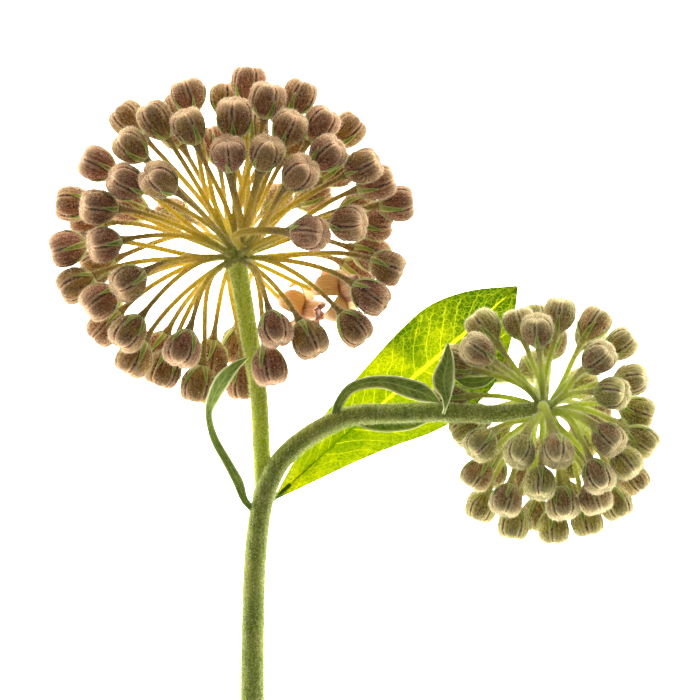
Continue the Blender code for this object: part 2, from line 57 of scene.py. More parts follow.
# Stems: the middle line of each, then its radius at its start and at its end.
STEM_PATH = (
    (-1.4, -54.0, 2.5),
    (-1.2, -30.0, 8.8),
    (-0.5, -12.0, 13.2),
    (1.6, 0.0, 15.6),
    (6.6, 8.0, 17.0),
    (17.2, 14.4, 18.2),
    (28.4, 15.3, 18.9),
    (36.4, 15.6, 19.3),
)
STEM_RADII = (2.4, 1.85)
LEFT_PEDUNCLE_PATH = (
    (0.9, 0.4, 15.0),
    (0.6, 10.0, 16.8),
    (-0.1, 21.0, 19.2),
    (-2.1, 33.4, 21.8),
    (-3.9, 44.4, 23.4),
)
LEFT_PEDUNCLE_RADII = (1.75, 1.8)
RIGHT_PEDUNCLE_PATH = ((37.2, 15.6, 19.3), (45.0, 15.2, 19.5), (55.1, 15.5, 19.6))
RIGHT_PEDUNCLE_RADII = (1.85, 1.8)
STEM_SWELLING = 0.06  # how much thicker a stem is at both ends, over its radius
STEM_SIDES = 10

# Umbels. A plan lists each bud as (degrees round the ball, distance from its middle in mm).
HUB_RADIUS = 2.7
LEFT_UMBEL = {
    "name": "left",
    "hub": (-4.2, 46.6, 24.0),
    "middle": (-4.5, 50.3, 24.0),
    "reach": (33.4, 30.6),
    "spread": 0.97,
    "height": (18.0, 19.5),
    "deepest": 19.8,
    "sag": 0.42,
    "bud_radius": 3.6,
    "bud_length": 7.8,
    "pedicel_radius": 0.48,
    "hook": (-10.0, 3.0, 6.0),
    "sprays": 28,
    "front": (
        (3, 15), (7, 23.5), (45, 18.5), (42, 25.5), (71, 18), (64, 25), (91, 17), (90, 24),
        (112, 24.5), (143, 19), (152, 24.5), (138, 28), (125, 28.5), (167, 28.5), (183, 27),
        (203, 23.5), (205, 30.5), (222, 29), (245, 25), (285, 27), (294, 20.5), (306, 25.5),
        (323, 30.5), (337, 30), (349, 32), (29, 30), (53, 29), (76, 29),
    ),
    "rim": (
        (12, 34), (21, 31), (44, 31.5), (66, 31.5), (85, 31.5), (132, 32.5), (152, 32), (168, 34),
        (184, 34.5), (196, 34), (214, 32), (230, 32), (241, 30.5), (256, 31), (108, 31),
        (273, 29),
    ),
    "back": (
        (14, 26), (35, 25), (45, 11), (60, 23), (82, 23), (103, 20), (120, 26), (159, 14),
        (164, 23), (192, 29), (258, 25), (270, 22), (346, 26), (356, 28), (30, 18), (48, 29),
        (70, 29), (94, 29), (112, 29), (174, 31), (205, 30), (4, 29), (235, 28),
    ),
}
RIGHT_UMBEL = {
    "name": "right",
    "hub": (57.2, 15.6, 19.6),
    "middle": (58.6, 13.8, 19.6),
    "reach": (19.5, 22.8),
    "spread": 0.96,
    "height": (15.5, 16.0),
    "deepest": 15.8,
    "sag": 0.42,
    "bud_radius": 3.3,
    "bud_length": 7.0,
    "pedicel_radius": 0.5,
    "hook": (-1.0, 5.0, 4.0),
    "sprays": 18,
    "front": (
        (276, 6), (222, 9), (343, 12), (26, 13.5), (310, 14.5), (260, 13), (278, 17), (299, 18),
        (331, 17.5), (54, 16), (136, 21), (99, 19), (240, 19), (198, 15.5), (28, 18.5),
    ),
    "rim": (
        (6, 18), (348, 19), (325, 21), (308, 21.5), (290, 22), (272, 22), (250, 22.5), (231, 22.5),
        (216, 19), (48, 21), (66, 22), (86, 22), (109, 21.5), (124, 23.5), (150, 23), (177, 18.5),
    ),
    "back": (
        (45, 10), (128, 14), (300, 9), (340, 14), (250, 13), (90, 16), (20, 16), (285, 17),
        (200, 12), (318, 19), (262, 20), (222, 16), (12, 9), (65, 20), (352, 17), (112, 12),
        (158, 18), (140, 19), (98, 21), (270, 6), (325, 8), (180, 15),
    ),
}
MOST_REACH = 0.92  # of a ball's radius, in buds above and below its rim
RIM_SPREAD = 6.0  # how far above and below the middle the outermost buds stand
RIM_TURN = 2.4  # the step between them in that rise and fall, in radians
BUD_RAISE = 0.7  # how much of a bud's slope up or down from the hub its own axis keeps
SAG_RANGE = (0.1, 1.4)  # the share of the sag in buds that stand up and in buds that hang

# How the buds settle: each step's shares of the push that keeps florets apart.
SETTLE_STEPS = 200
SETTLE_CLEARANCE = 0.1  # beyond half of the gap
FLORET_PUSH = 0.45
OBSTACLE_PUSH = 0.6
MOST_PUSH = 0.6
BUD_SHARE = 0.4
BOW_SHARE = 0.35
ROOT_SHARE = 0.3
HOME_PULL = 0.03  # back towards the plan, seen from above
BOW_KEPT = 0.995
OBSTACLE_STEP = 1.2  # between the balls that stand for a stem or a leaf
HANDLE = 0.33  # a pedicel's control points, as a share of its span from either end

# Two open flowers: where each stands on the left umbel's ball and how high, and where it faces.
FLOWERS = (
    ((314, 20), 8.0, (0.86, -0.12, 0.5)),
    ((334, 24), 16.5, (0.72, 0.34, 0.6)),
)
FLOWER_RADIUS = 4.6

# Large leaf: its midrib, then the blade's width on either side of it at equal steps along it.
LARGE_LEAF_MIDRIB = (
    (3.7, -1.5, 13.4),
    (16.6, 10.2, 11.8),
    (28.5, 20.3, 10.2),
    (40.3, 30.4, 8.4),
    (52.2, 40.8, 6.6),
)
LARGE_LEAF_UPPER_WIDTHS = (0.4, 3.4, 5.7, 6.9, 8.0, 8.9, 8.8, 5.8, 0.2)
LARGE_LEAF_LOWER_WIDTHS = (0.4, 3.2, 5.8, 8.4, 11.2, 12.4, 11.6, 7.2, 0.2)
LARGE_LEAF_THICKNESS = 0.5
LARGE_LEAF_RIPPLE = 0.9
RIPPLE_TURN = 7.0  # the ripple along the blade, in radians from its base to its tip

# Folded leaves: for each, points along its middle, and its half width at each of them.
FOLDED_LEAVES = {
    "narrow_leaf": (
        ((-2.7, -2.2, 15.6), 0.7),
        ((-4.0, 1.4, 17.0), 1.0),
        ((-6.0, 5.2, 18.4), 0.9),
        ((-8.8, 10.4, 20.0), 0.8),
        ((-9.8, 15.2, 22.8), 0.7),
        ((-8.7, 18.8, 26.0), 1.2),
        ((-6.8, 22.2, 28.6), 1.5),
        ((-4.4, 24.8, 29.8), 0.9),
        ((-1.9, 26.5, 30.2), 0.15),
    ),
    "small_leaf": (
        ((16.3, 17.5, 19.4), 0.9),
        ((18.4, 20.2, 20.4), 1.0),
        ((21.6, 21.4, 21.0), 1.1),
        ((25.4, 21.6, 21.6), 1.3),
        ((29.4, 20.6, 22.0), 1.8),
        ((33.2, 19.3, 22.2), 1.7),
        ((36.2, 17.6, 22.2), 0.3),
    ),
    "upright_leaf": (
        ((37.4, 16.4, 23.0), 0.3),
        ((37.6, 18.8, 23.6), 1.0),
        ((37.1, 22.0, 24.2), 2.2),
        ((37.8, 25.6, 24.6), 1.4),
        ((38.0, 29.4, 24.4), 0.15),
    ),
    "under_leaf": (
        ((18.6, 13.9, 14.0), 0.3),
        ((23.0, 13.3, 13.9), 1.5),
        ((27.0, 13.3, 13.9), 1.7),
        ((31.0, 13.6, 14.0), 1.4),
        ((34.8, 14.2, 14.2), 0.2),
    ),
    "bract": (
        ((47.6, 22.8, 16.6), 0.3),
        ((45.0, 21.7, 16.6), 1.1),
        ((42.2, 21.5, 16.4), 1.2),
        ((39.6, 22.2, 16.0), 0.15),
    ),
}
LEAF_FOLD = 0.75  # how far a folded leaf's margins rise, over its half width

# --- Detail that only the looks have, in mm unless it says otherwise ---

PETALS = 5
BUD_AROUND = 80
# A bud's outline from its base to its tip: (share of its radius, share of its length).
BUD_OUTLINE = (
    (0.24, 0.0), (0.37, 0.05), (0.55, 0.12), (0.78, 0.25), (0.93, 0.41), (1.0, 0.58),
    (0.98, 0.74), (0.88, 0.88), (0.68, 0.965), (0.36, 0.98), (0.06, 0.94),
)
GROOVE_DEPTH = ((0.0, 0.0), (0.25, 0.03), (0.6, 0.06), (0.8, 0.1), (0.92, 0.24), (1.0, 0.34))
GROOVE_SHARPNESS = 8
PETAL_EDGE = 0.035  # the raised edges of the petals on both sides of a groove
SEPAL_REACH = 0.56  # a sepal's length, as a share of the bud's
SEPAL_HALF_WIDTH = 0.7
PEDICEL_SIDES = 12
PEDICEL_RINGS = 26
PEDICEL_FLARE_LENGTH = 3.2
PEDICEL_GIRTH = 1.05  # over the part's own pedicels
STOUT = 1.5  # in the florets nearest the front, with these numbers in the plan
STOUT_FLORETS = {"left": (0, 4, 6), "right": (0, 1, 2)}
STEM_VOXEL = 0.28
# Stubs on the left hub where florets have dropped: (the way it points, its length).
STUBS = (
    ((-0.5, 0.1, 1.0), 2.6), ((-0.1, -0.35, 1.0), 2.2), ((0.35, 0.2, 1.0), 2.9),
    ((0.5, -0.4, 0.8), 2.0), ((-0.6, -0.6, 0.7), 1.9),
)
STUB_RADIUS = 0.72
FORK_PATH = ((1.1, -1.8, 14.4), (0.6, 8.6, 15.2))  # how the left peduncle leaves the stem, from behind
STEM_NODES = (((1.1, -1.2, 14.9), 2.35), ((36.9, 15.6, 19.3), 2.0))  # where a leaf joins, and its girth
FLOWER_DROOP = 4.0
FLOWER_ROOT = 0.6  # how deep in the hub an open flower's stalk starts
FLOWER_HANDLES = (0.4, 0.3)  # of its stalk, at the hub and at the flower
COLUMN_OUTLINE = ((-0.4, 0.7), (0.2, 1.7), (1.0, 1.2), (2.4, 1.35), (3.0, 0.9))  # (height, radius)
LEAF_ROWS = 18  # rows to each stretch of a leaf's path
# Where a folded leaf grows from, inside its stem.
LEAF_ROOTS = {
    "narrow_leaf": (-0.4, -4.6, 14.6),
    "small_leaf": (15.6, 15.2, 18.4),
    "upright_leaf": (37.0, 15.0, 20.2),
}
LARGE_LEAF_STALK = ((1.5, -2.6, 14.8), (3.4, -1.5, 13.7), (6.4, 1.0, 13.1))
LARGE_LEAF_STALK_RADII = (0.85, 0.4)
LARGE_LEAF_ROWS = 20  # to each stretch of its midrib
LARGE_LEAF_COLUMNS = 81  # points across it
SIDE_VEINS = 17.0
SIDE_VEIN_SWEEP = 2.6
HAIR_LENGTH = 0.48
HAIR_WIDTH = 0.055
HAIR_LEAN = 0.5  # towards the tip of what it grows on
HAIR_SPREAD = 0.35
HAIR_ROOT = 0.04  # how deep a hair starts
BUD_HAIRS = 1600
PEDICEL_HAIRS = 900
STEM_HAIRS = 160  # on each mm of a stem
SHEEN_ROUGHNESS = 0.16
SPECULAR_LEVEL = 0.3

# The image is square, and the camera looks straight down from above the middle of the plant.
VIEW_MIDDLE = (18.4, 28.0, 22.0)
VIEW_WIDTH = 140.0
FLOOR_HALF = 3.0  # m
FLOOR_HEIGHT = -0.0009  # m, just under the down of the lowest buds
FLOOR_GLOW = 8.0  # a lit floor, so that the down shines round every edge
FLOOR_COLOUR = (1.0, 0.96, 0.82)
STUDIO_GLOW = 0.24
STUDIO_COLOUR = (1.0, 0.93, 0.74, 1.0)
KEY_LIGHT = {"place": (-0.35, 0.3, 0.7), "aim": (0, 0, 0.02), "size": 0.5, "power": 0.9}  # m, W
CAMERA_HEIGHT = 1500.0
SENSOR = 36.0


def unit(vector):
    return vector / np.linalg.norm(vector, axis=-1, keepdims=True)


def smooth_path(points, steps):
    """Points along a Catmull-Rom curve through the given ones, with steps to each stretch."""
    points = np.array(points, float)
    ends = [2 * points[0] - points[1], *points, 2 * points[-1] - points[-2]]
    path = []
    for a, b, c, d in zip(ends, ends[1:], ends[2:], ends[3:]):
        for t in np.arange(steps) / steps:
            bend = 2 * a - 5 * b + 4 * c - d
            twist = 3 * b - a - 3 * c + d
            path.append(b + 0.5 * t * (c - a + t * (bend + t * twist)))
    return np.array([*path, points[-1]])


def sides_along(path):
    """Two unit vectors square to the path at each of its points, turning as little as they can."""
    along = unit(np.gradient(path, axis=0))
    side = np.cross((0.0, 0.0, 1.0), along[0])
    if np.linalg.norm(side) < 0.1:
        side = np.cross((0.0, 1.0, 0.0), along[0])
    pairs = []
    for tangent in along:
        side = unit(side - tangent * np.dot(side, tangent))
        pairs.append((side, np.cross(tangent, side)))
    return pairs


def tube(path, radii, sides):
    """Points of a tube: a ring round each point of the path."""
    angles = 2 * math.pi * np.arange(sides) / sides
    pairs = np.array(sides_along(path))
    spokes = np.cos(angles)[:, None] * pairs[:, None, 0] + np.sin(angles)[:, None] * pairs[:, None, 1]
    return path[:, None] + np.asarray(radii)[:, None, None] * spokes


def stem_radii(count, radii):
    """A stem's radius at each of its rings: even from one end to the other, and swollen at both."""
    t = np.linspace(0, 1, count)
    return np.interp(t, (0, 1), radii) * (1 + STEM_SWELLING * (2 * t - 1) ** 4)


def plan_shift():
    """From the plan to the frame, from where the frame has the main stem."""
    path = smooth_path(STEM_PATH, 3)
    rings = tube(path, stem_radii(len(path), STEM_RADII), STEM_SIDES)
    return np.array(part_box("main_stem")[0]) / MM - rings.reshape(-1, 3).min(axis=0)


SHIFT = plan_shift()


# --- Where the buds go, as the part works it out ---


def plan_centres(umbel):
    """The middle of each bud: the plan's place seen from above, at its height on the ball."""
    middle = np.array(umbel["middle"])
    centres = []
    for part, rise in (("front", 1.0), ("rim", 0.0), ("back", -1.0)):
        for place, (turn, reach) in enumerate(umbel[part]):
            angle = math.radians(turn)
            flat = reach * umbel["spread"] * np.array((math.cos(angle), math.sin(angle)))
            share = min(MOST_REACH, np.linalg.norm(flat / umbel["reach"]))
            height = umbel["height"][rise < 0] * math.sqrt(1 - share * share)
            lift = rise * height if rise else RIM_SPREAD * math.sin(RIM_TURN * place)
            lift = max(lift, -umbel["deepest"])
            centres.append(middle + (*flat, lift))
    return np.array(centres)


def group_into_sprays(directions, count):
    """Shares the buds out among sprays of neighbours, one or two or three to a spray."""
    largest = math.ceil(len(directions) / count)
    free = list(range(len(directions)))
    sprays = []
    while free:
        first = free.pop(0)
        spray = [first]
        wanted = min(largest, math.ceil((len(free) + 1) / max(1, count - len(sprays))))
        while len(spray) < wanted and free:
            nearest = max(free, key=lambda i: directions[i] @ directions[first])
            free.remove(nearest)
            spray.append(nearest)
        sprays.append(spray)
    return sprays


def bezier(start, first, second, end, t):
    t = np.asarray(t)[:, None]
    s = 1 - t
    return s**3 * start + 3 * s * s * t * first + 3 * s * t * t * second + t**3 * end


class Umbel:
    """The settled layout of one umbel: its sprays, and each bud's place and its pedicel's curve."""

    SPOTS = np.linspace(0.0, 0.94, 9)  # where along a pedicel its clear space is kept

    def __init__(self, plan, obstacles):
        self.plan = plan
        self.hub = np.array(plan["hub"])
        self.centres = plan_centres(plan)
        self.home = self.centres.copy()
        self.bow = np.zeros_like(self.centres)
        self.sprays = group_into_sprays(unit(self.centres - self.hub), plan["sprays"])
        self.spray_of = np.empty(len(self.centres), int)
        for number, spray in enumerate(self.sprays):
            self.spray_of[spray] = number
        self.roots = np.array([self.root_direction(spray) for spray in self.sprays])
        self.settle(obstacles)

    def sag(self, outwards):
        """How far each bud hangs: hardly at all where it stands up from the hub."""
        least, most = SAG_RANGE
        share = least + (most - least) * (1 - outwards[:, 1:2]) / 2
        return self.plan["sag"] * share * np.array((0.0, 1.0, 0.0))

    def root_direction(self, spray):
        """The way that a spray leaves the hub, lifted against the sag of its pedicels."""
        outwards = unit(self.centres[spray] - self.hub)
        return unit((outwards + self.sag(outwards)).mean(axis=0))

    def axes(self):
        """The way that each bud points: outwards from the hub, levelled and sagging."""
        outwards = unit(self.centres - self.hub)
        return unit(outwards * (1.0, 1.0, BUD_RAISE) - self.sag(outwards))

    def curves(self):
        """The four control points of every pedicel."""
        axes = self.axes()
        starts = self.hub + (HUB_RADIUS + GAP) * self.roots[self.spray_of]
        ends = self.centres - axes * self.plan["bud_length"] / 2
        spans = np.linalg.norm(ends - starts, axis=1, keepdims=True)
        firsts = starts + HANDLE * spans * self.roots[self.spray_of] + self.bow / 2
        firsts[0] += self.plan["hook"]
        seconds = ends - HANDLE * spans * axes + self.bow
        return starts, firsts, seconds, ends

    def spheres(self):
        """Balls that fill each floret: along its pedicel, then three in its bud."""
        starts, firsts, seconds, ends = self.curves()
        t = self.SPOTS[None, :, None]
        s = 1 - t
        along = s**3 * starts[:, None] + 3 * s * s * t * firsts[:, None]
        along = along + 3 * s * t * t * seconds[:, None] + t**3 * ends[:, None]
        radius, length = self.plan["bud_radius"], self.plan["bud_length"]
        offsets = np.array((-0.17, 0.0, 0.2))[None, :, None] * length
        buds = self.centres[:, None] + offsets * self.axes()[:, None]
        pedicel = self.plan["pedicel_radius"]
        radii = [pedicel] * len(self.SPOTS) + [0.84 * radius, radius, 0.86 * radius]
        return np.concatenate([along, buds], axis=1), np.array(radii) + GAP / 2 + SETTLE_CLEARANCE

    def settle(self, obstacles):
        """Moves buds and pedicels apart until each has its own space, near its place in the plan."""
        t = self.SPOTS
        bud_pull = np.concatenate([t**3 + 3 * t * t * (1 - t), np.ones(3)])
        bow_pull = np.concatenate([3 * t * (1 - t), np.zeros(3)])
        root_pull = np.concatenate([(1 - t) ** 2, np.zeros(3)])
        blocks = np.array([place for place, _ in obstacles])
        block_radii = np.array([radius for _, radius in obstacles]) + GAP / 2
        count = len(self.centres)
        each = len(bud_pull)
        floret = np.repeat(np.arange(count), each)
        near_root = np.tile(np.concatenate([t < 0.5, np.zeros(3, bool)]), count)
        spray = self.spray_of[floret]
        ignored = floret[:, None] == floret[None]
        ignored |= (spray[:, None] == spray[None]) & near_root[:, None] & near_root[None]
        for _ in range(SETTLE_STEPS):
            places, radii = self.spheres()
            flat = places.reshape(-1, 3)
            sizes = np.tile(radii, count)
            away = flat[:, None] - flat[None]
            apart = np.linalg.norm(away, axis=2) + 1e-9
            depth = np.where(ignored, 0, np.clip(sizes[:, None] + sizes[None] - apart, 0, None))
            push = (away / apart[..., None] * depth[..., None]).sum(axis=1) * FLORET_PUSH
            away = flat[:, None] - blocks[None]
            apart = np.linalg.norm(away, axis=2) + 1e-9
            depth = np.clip(sizes[:, None] + block_radii[None] - apart, 0, None)
            push += (away / apart[..., None] * depth[..., None]).sum(axis=1) * OBSTACLE_PUSH
            push[:, 2] += np.clip(sizes - GAP / 2 - flat[:, 2], 0, None)
            push = push.reshape(count, each, 3)
            limit = np.linalg.norm(push, axis=2, keepdims=True)
            push *= np.minimum(1, MOST_PUSH / (limit + 1e-9))
            self.centres += (push * bud_pull[:, None]).sum(axis=1) * BUD_SHARE
            self.centres[:, :2] += HOME_PULL * (self.home - self.centres)[:, :2]
            self.bow += (push * bow_pull[:, None]).sum(axis=1) * BOW_SHARE
            self.bow *= BOW_KEPT
            turn = (push * root_pull[:, None]).sum(axis=1) / HUB_RADIUS * ROOT_SHARE
            for number, members in enumerate(self.sprays):
                self.roots[number] = unit(self.roots[number] + turn[members].mean(axis=0))


def widths_along(widths, count):
    """A smooth run of widths at count even steps, from a few given ones."""
    steps = 12
    curve = smooth_path([(i, width) for i, width in enumerate(widths)], steps)
    return np.interp(np.linspace(0, len(widths) - 1, count), curve[:, 0], curve[:, 1])


def large_leaf_rows(steps, shares):
    """Points of the large leaf's blade, in rows across it from its base to its tip."""
    rib = smooth_path(LARGE_LEAF_MIDRIB, steps)
    upper = widths_along(LARGE_LEAF_UPPER_WIDTHS, len(rib))
    lower = widths_along(LARGE_LEAF_LOWER_WIDTHS, len(rib))
    tangents = unit(np.gradient(rib, axis=0))
    rows = []
    for i, (centre, tangent) in enumerate(zip(rib, tangents)):
        turn = RIPPLE_TURN * i / (len(rib) - 1)
        side = unit(np.cross((0.0, 0.0, 1.0), tangent))
        row = []
        for share in shares:
            width = upper[i] if share > 0 else lower[i]
            point = centre + side * share * width
            point[2] += LARGE_LEAF_RIPPLE * (abs(share) * math.sin(turn + 2 * share) + share**2)
            row.append(point)
        rows.append(row)
    return np.array(rows)


def flower_centre(place):
    """Where an open flower stands, among the lowest buds of the left umbel."""
    (turn, reach), height, _ = place
    angle = math.radians(turn)
    across, along, _ = LEFT_UMBEL["middle"]
    return np.array((across + reach * math.cos(angle), along + reach * math.sin(angle), height))


def obstacle_line(path, radii):
    """Balls along a stem or a leaf that the buds and pedicels keep clear of."""
    line = smooth_path(path, 12)
    sizes = np.interp(np.linspace(0, 1, len(line)), np.linspace(0, 1, len(radii)), radii)
    kept = [0]
    for i, point in enumerate(line):
        if np.linalg.norm(point - line[kept[-1]]) > OBSTACLE_STEP:
            kept.append(i)
    return [(line[i], sizes[i]) for i in kept]


def umbel_obstacles():
    spots = obstacle_line(LEFT_PEDUNCLE_PATH, LEFT_PEDUNCLE_RADII)
    spots += obstacle_line(RIGHT_PEDUNCLE_PATH, RIGHT_PEDUNCLE_RADII)
    spots += obstacle_line(STEM_PATH, STEM_RADII)
    for outline in FOLDED_LEAVES.values():
        path, half_widths = zip(*outline)
        spots += obstacle_line(path, np.array(half_widths) * (1 + LEAF_FOLD / 2))
    for row in large_leaf_rows(7, np.linspace(-1, 1, 13)):
        spots += [(point, 2 * LARGE_LEAF_THICKNESS) for point in row]
    spots += [(umbel["hub"], HUB_RADIUS) for umbel in (LEFT_UMBEL, RIGHT_UMBEL)]
    for place in FLOWERS:
        spots.append((flower_centre(place), FLOWER_RADIUS))
    return spots


# --- Meshes ---


class Piece:
    """Gathers surfaces in plan millimetres, then makes one mesh object of them in the frame.

    Each point carries three values for the materials: lobe, along and tint.
    """

    VALUES = ("lobe", "along", "tint")

    def __init__(self):
        self.points = []
        self.faces = []
        self.face_slots = []
        self.values = {name: [] for name in self.VALUES}
        self.materials = []
        self.count = 0

    def add(self, points, face_arrays, material, **values):
        points = np.asarray(points, float).reshape(-1, 3)
        if material not in self.materials:
            self.materials.append(material)
        slot = self.materials.index(material)
        for faces in face_arrays:
            self.faces += (np.asarray(faces) + self.count).tolist()
            self.face_slots += [slot] * len(faces)
        self.points.append(points)
        self.count += len(points)
        for name in self.VALUES:
            value = np.asarray(values.get(name, 0.0))
            flat = np.ravel(value) if value.size > 1 else np.full(len(points), float(value))
            self.values[name].append(flat)

    def make(self, name, slot, replaced):
        mesh = bpy.data.meshes.new(name)
        placed = (np.concatenate(self.points) + SHIFT) * MM
        mesh.from_pydata(placed, [], self.faces)
        for value_name, chunks in self.values.items():
            attribute = mesh.attributes.new(value_name, "FLOAT", "POINT")
            attribute.data.foreach_set("value", np.concatenate(chunks).astype(np.float32))
        for material in self.materials:
            mesh.materials.append(material)
        mesh.polygons.foreach_set("material_index", self.face_slots)
        mesh.shade_smooth()
        mesh.update()
        add_to_frame(bpy.data.objects.new(name, mesh), replaced)


def add_to_frame(obj, replaced):
    bpy.context.scene.collection.objects.link(obj)
    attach(obj, "root")
    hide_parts(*replaced)


def grid_quads(rows, columns, closed=False):
    """Quads between rows of points. Closed joins each row's last point to its first."""
    wide = columns if closed else columns - 1
    r, c = np.meshgrid(np.arange(rows - 1), np.arange(wide), indexing="ij")
    r, c = r.ravel(), c.ravel()
    d = (c + 1) % columns
    return np.stack([r * columns + c, r * columns + d, (r + 1) * columns + d, (r + 1) * columns + c], axis=1)


def fan(ring, centre, flip=False):
    """Triangles from a ring of point numbers to one in its middle."""
    ring = np.asarray(ring)
    after = np.roll(ring, -1)
    middle = np.full(len(ring), centre)
    return np.stack([after, ring, middle] if flip else [ring, after, middle], axis=1)


def add_loft(piece, rings, material, **values):
    """A closed surface through rings, ending in a point in the middle of its first and last one."""
    rows, columns = rings.shape[:2]
    points = np.concatenate([rings.reshape(-1, 3), [rings[0].mean(axis=0), rings[-1].mean(axis=0)]])
    count = rows * columns
    faces = [
        grid_quads(rows, columns, closed=True),
        fan(np.arange(columns), count, flip=True),
        fan(np.arange(count - columns, count), count + 1),
    ]
    spread = {}
    for name, value in values.items():
        value = np.asarray(value, float)
        if value.ndim == 2:
            value = np.concatenate([value.ravel(), [value[0].mean(), value[-1].mean()]])
        spread[name] = value
    piece.add(points, faces, material, **spread)


def add_sheet(piece, grid, thickness, material, under=None, **values):
    """A thin closed solid round a grid of points: its upper side, its under side and its edge."""
    rows, columns = grid.shape[:2]
    normal = np.cross(np.gradient(grid, axis=1), np.gradient(grid, axis=0))
    normal = normal / (np.linalg.norm(normal, axis=2, keepdims=True) + 1e-9)
    half = np.asarray(thickness) / 2
    half = half[..., None] if half.ndim else half
    upper, lower = grid + normal * half, grid - normal * half
    quads = grid_quads(rows, columns)
    index = np.arange(rows * columns).reshape(rows, columns)
    edge = np.concatenate([index[0, :-1], index[:-1, -1], index[-1, :0:-1], index[:0:-1, 0]])
    after = np.roll(edge, -1)
    count = rows * columns
    top = [quads[:, ::-1], np.stack([edge, after, after + count, edge + count], axis=1)]
    both = {}
    for name, value in values.items():
        value = np.broadcast_to(np.asarray(value, float), (rows, columns)).ravel()
        both[name] = np.concatenate([value, value])
    points = np.concatenate([upper.reshape(-1, 3), lower.reshape(-1, 3)])
    piece.add(points, top, material, **both)
    base = piece.count - len(points)
    under = under or material
    if under not in piece.materials:
        piece.materials.append(under)
    faces = quads + count + base
    piece.faces += faces.tolist()
    piece.face_slots += [piece.materials.index(under)] * len(faces)


# --- Materials ---


class Nodes:
    """A short way to write a node tree: each call adds a node, and inputs may be other nodes' outputs."""

    def __init__(self, name):
        self.material = bpy.data.materials.new(name)
        self.material.use_nodes = True
        self.tree = self.material.node_tree
        self.tree.nodes.clear()

    def add(self, kind, inputs=(), **settings):
        node = self.tree.nodes.new("ShaderNode" + kind)
        for name, value in settings.items():
            setattr(node, name, value)
        for key, value in dict(inputs).items():
            self.fill(node.inputs[key], value)
        return node

    def fill(self, socket, value):
        """Gives a socket another node's output, a number, or a colour of three or four values."""
        if isinstance(value, bpy.types.NodeSocket):
            self.tree.links.new(value, socket)
        elif hasattr(socket.default_value, "__len__"):
            socket.default_value = (*value, 1.0)[:len(socket.default_value)]
        else:
            socket.default_value = value

    def value(self, name):
        return self.add("Attribute", attribute_name=name).outputs["Fac"]

    def place(self):
        return self.add("TexCoord").outputs["Object"]

    def maths(self, operation, a, b=0.0, c=0.0, clamp=False):
        node = self.add("Math", {0: a, 1: b, 2: c}, operation=operation, use_clamp=clamp)
        return node.outputs[0]

    def ramp(self, value, low, high, start=0.0, end=1.0):
        """value from low..high to start..end, smoothly, and held beyond."""
        node = self.add(
            "MapRange",
            {"Value": value, "From Min": low, "From Max": high, "To Min": start, "To Max": end},
            interpolation_type="SMOOTHSTEP",
        )
        return node.outputs[0]

    def noise(self, scale, detail, rough=0.5, where=None):
        inputs = {"Vector": where or self.place(), "Scale": scale, "Detail": detail, "Roughness": rough}
        return self.add("TexNoise", inputs).outputs["Fac"]

    def mix(self, share, a, b):
        node = self.add("Mix", data_type="RGBA")
        for key, value in (("Factor_Float", share), ("A_Color", a), ("B_Color", b)):
            self.fill(next(s for s in node.inputs if s.identifier == key), value)
        return next(s for s in node.outputs if s.identifier == "Result_Color")

    def bump(self, height, strength, distance):
        inputs = {"Height": height, "Strength": strength, "Distance": distance}
        return self.add("Bump", inputs).outputs["Normal"]

    def skin(self, colour, glow, glow_share, roughness, normal, sheen, sheen_tint):
        """A plant's surface: soft and downy, and letting through some of the light behind it."""
        inputs = {"Base Color": colour, "Roughness": roughness, "Sheen Weight": sheen}
        inputs.update({"Sheen Roughness": SHEEN_ROUGHNESS, "Sheen Tint": sheen_tint})
        inputs.update({"Specular IOR Level": SPECULAR_LEVEL, "Normal": normal})
        front = self.add("BsdfPrincipled", inputs).outputs["BSDF"]
        back = self.add("BsdfTranslucent", {"Color": glow, "Normal": normal}).outputs["BSDF"]
        both = self.add("MixShader", {0: glow_share, 1: front, 2: back}).outputs["Shader"]
        self.add("OutputMaterial", {"Surface": both})
        return self.material


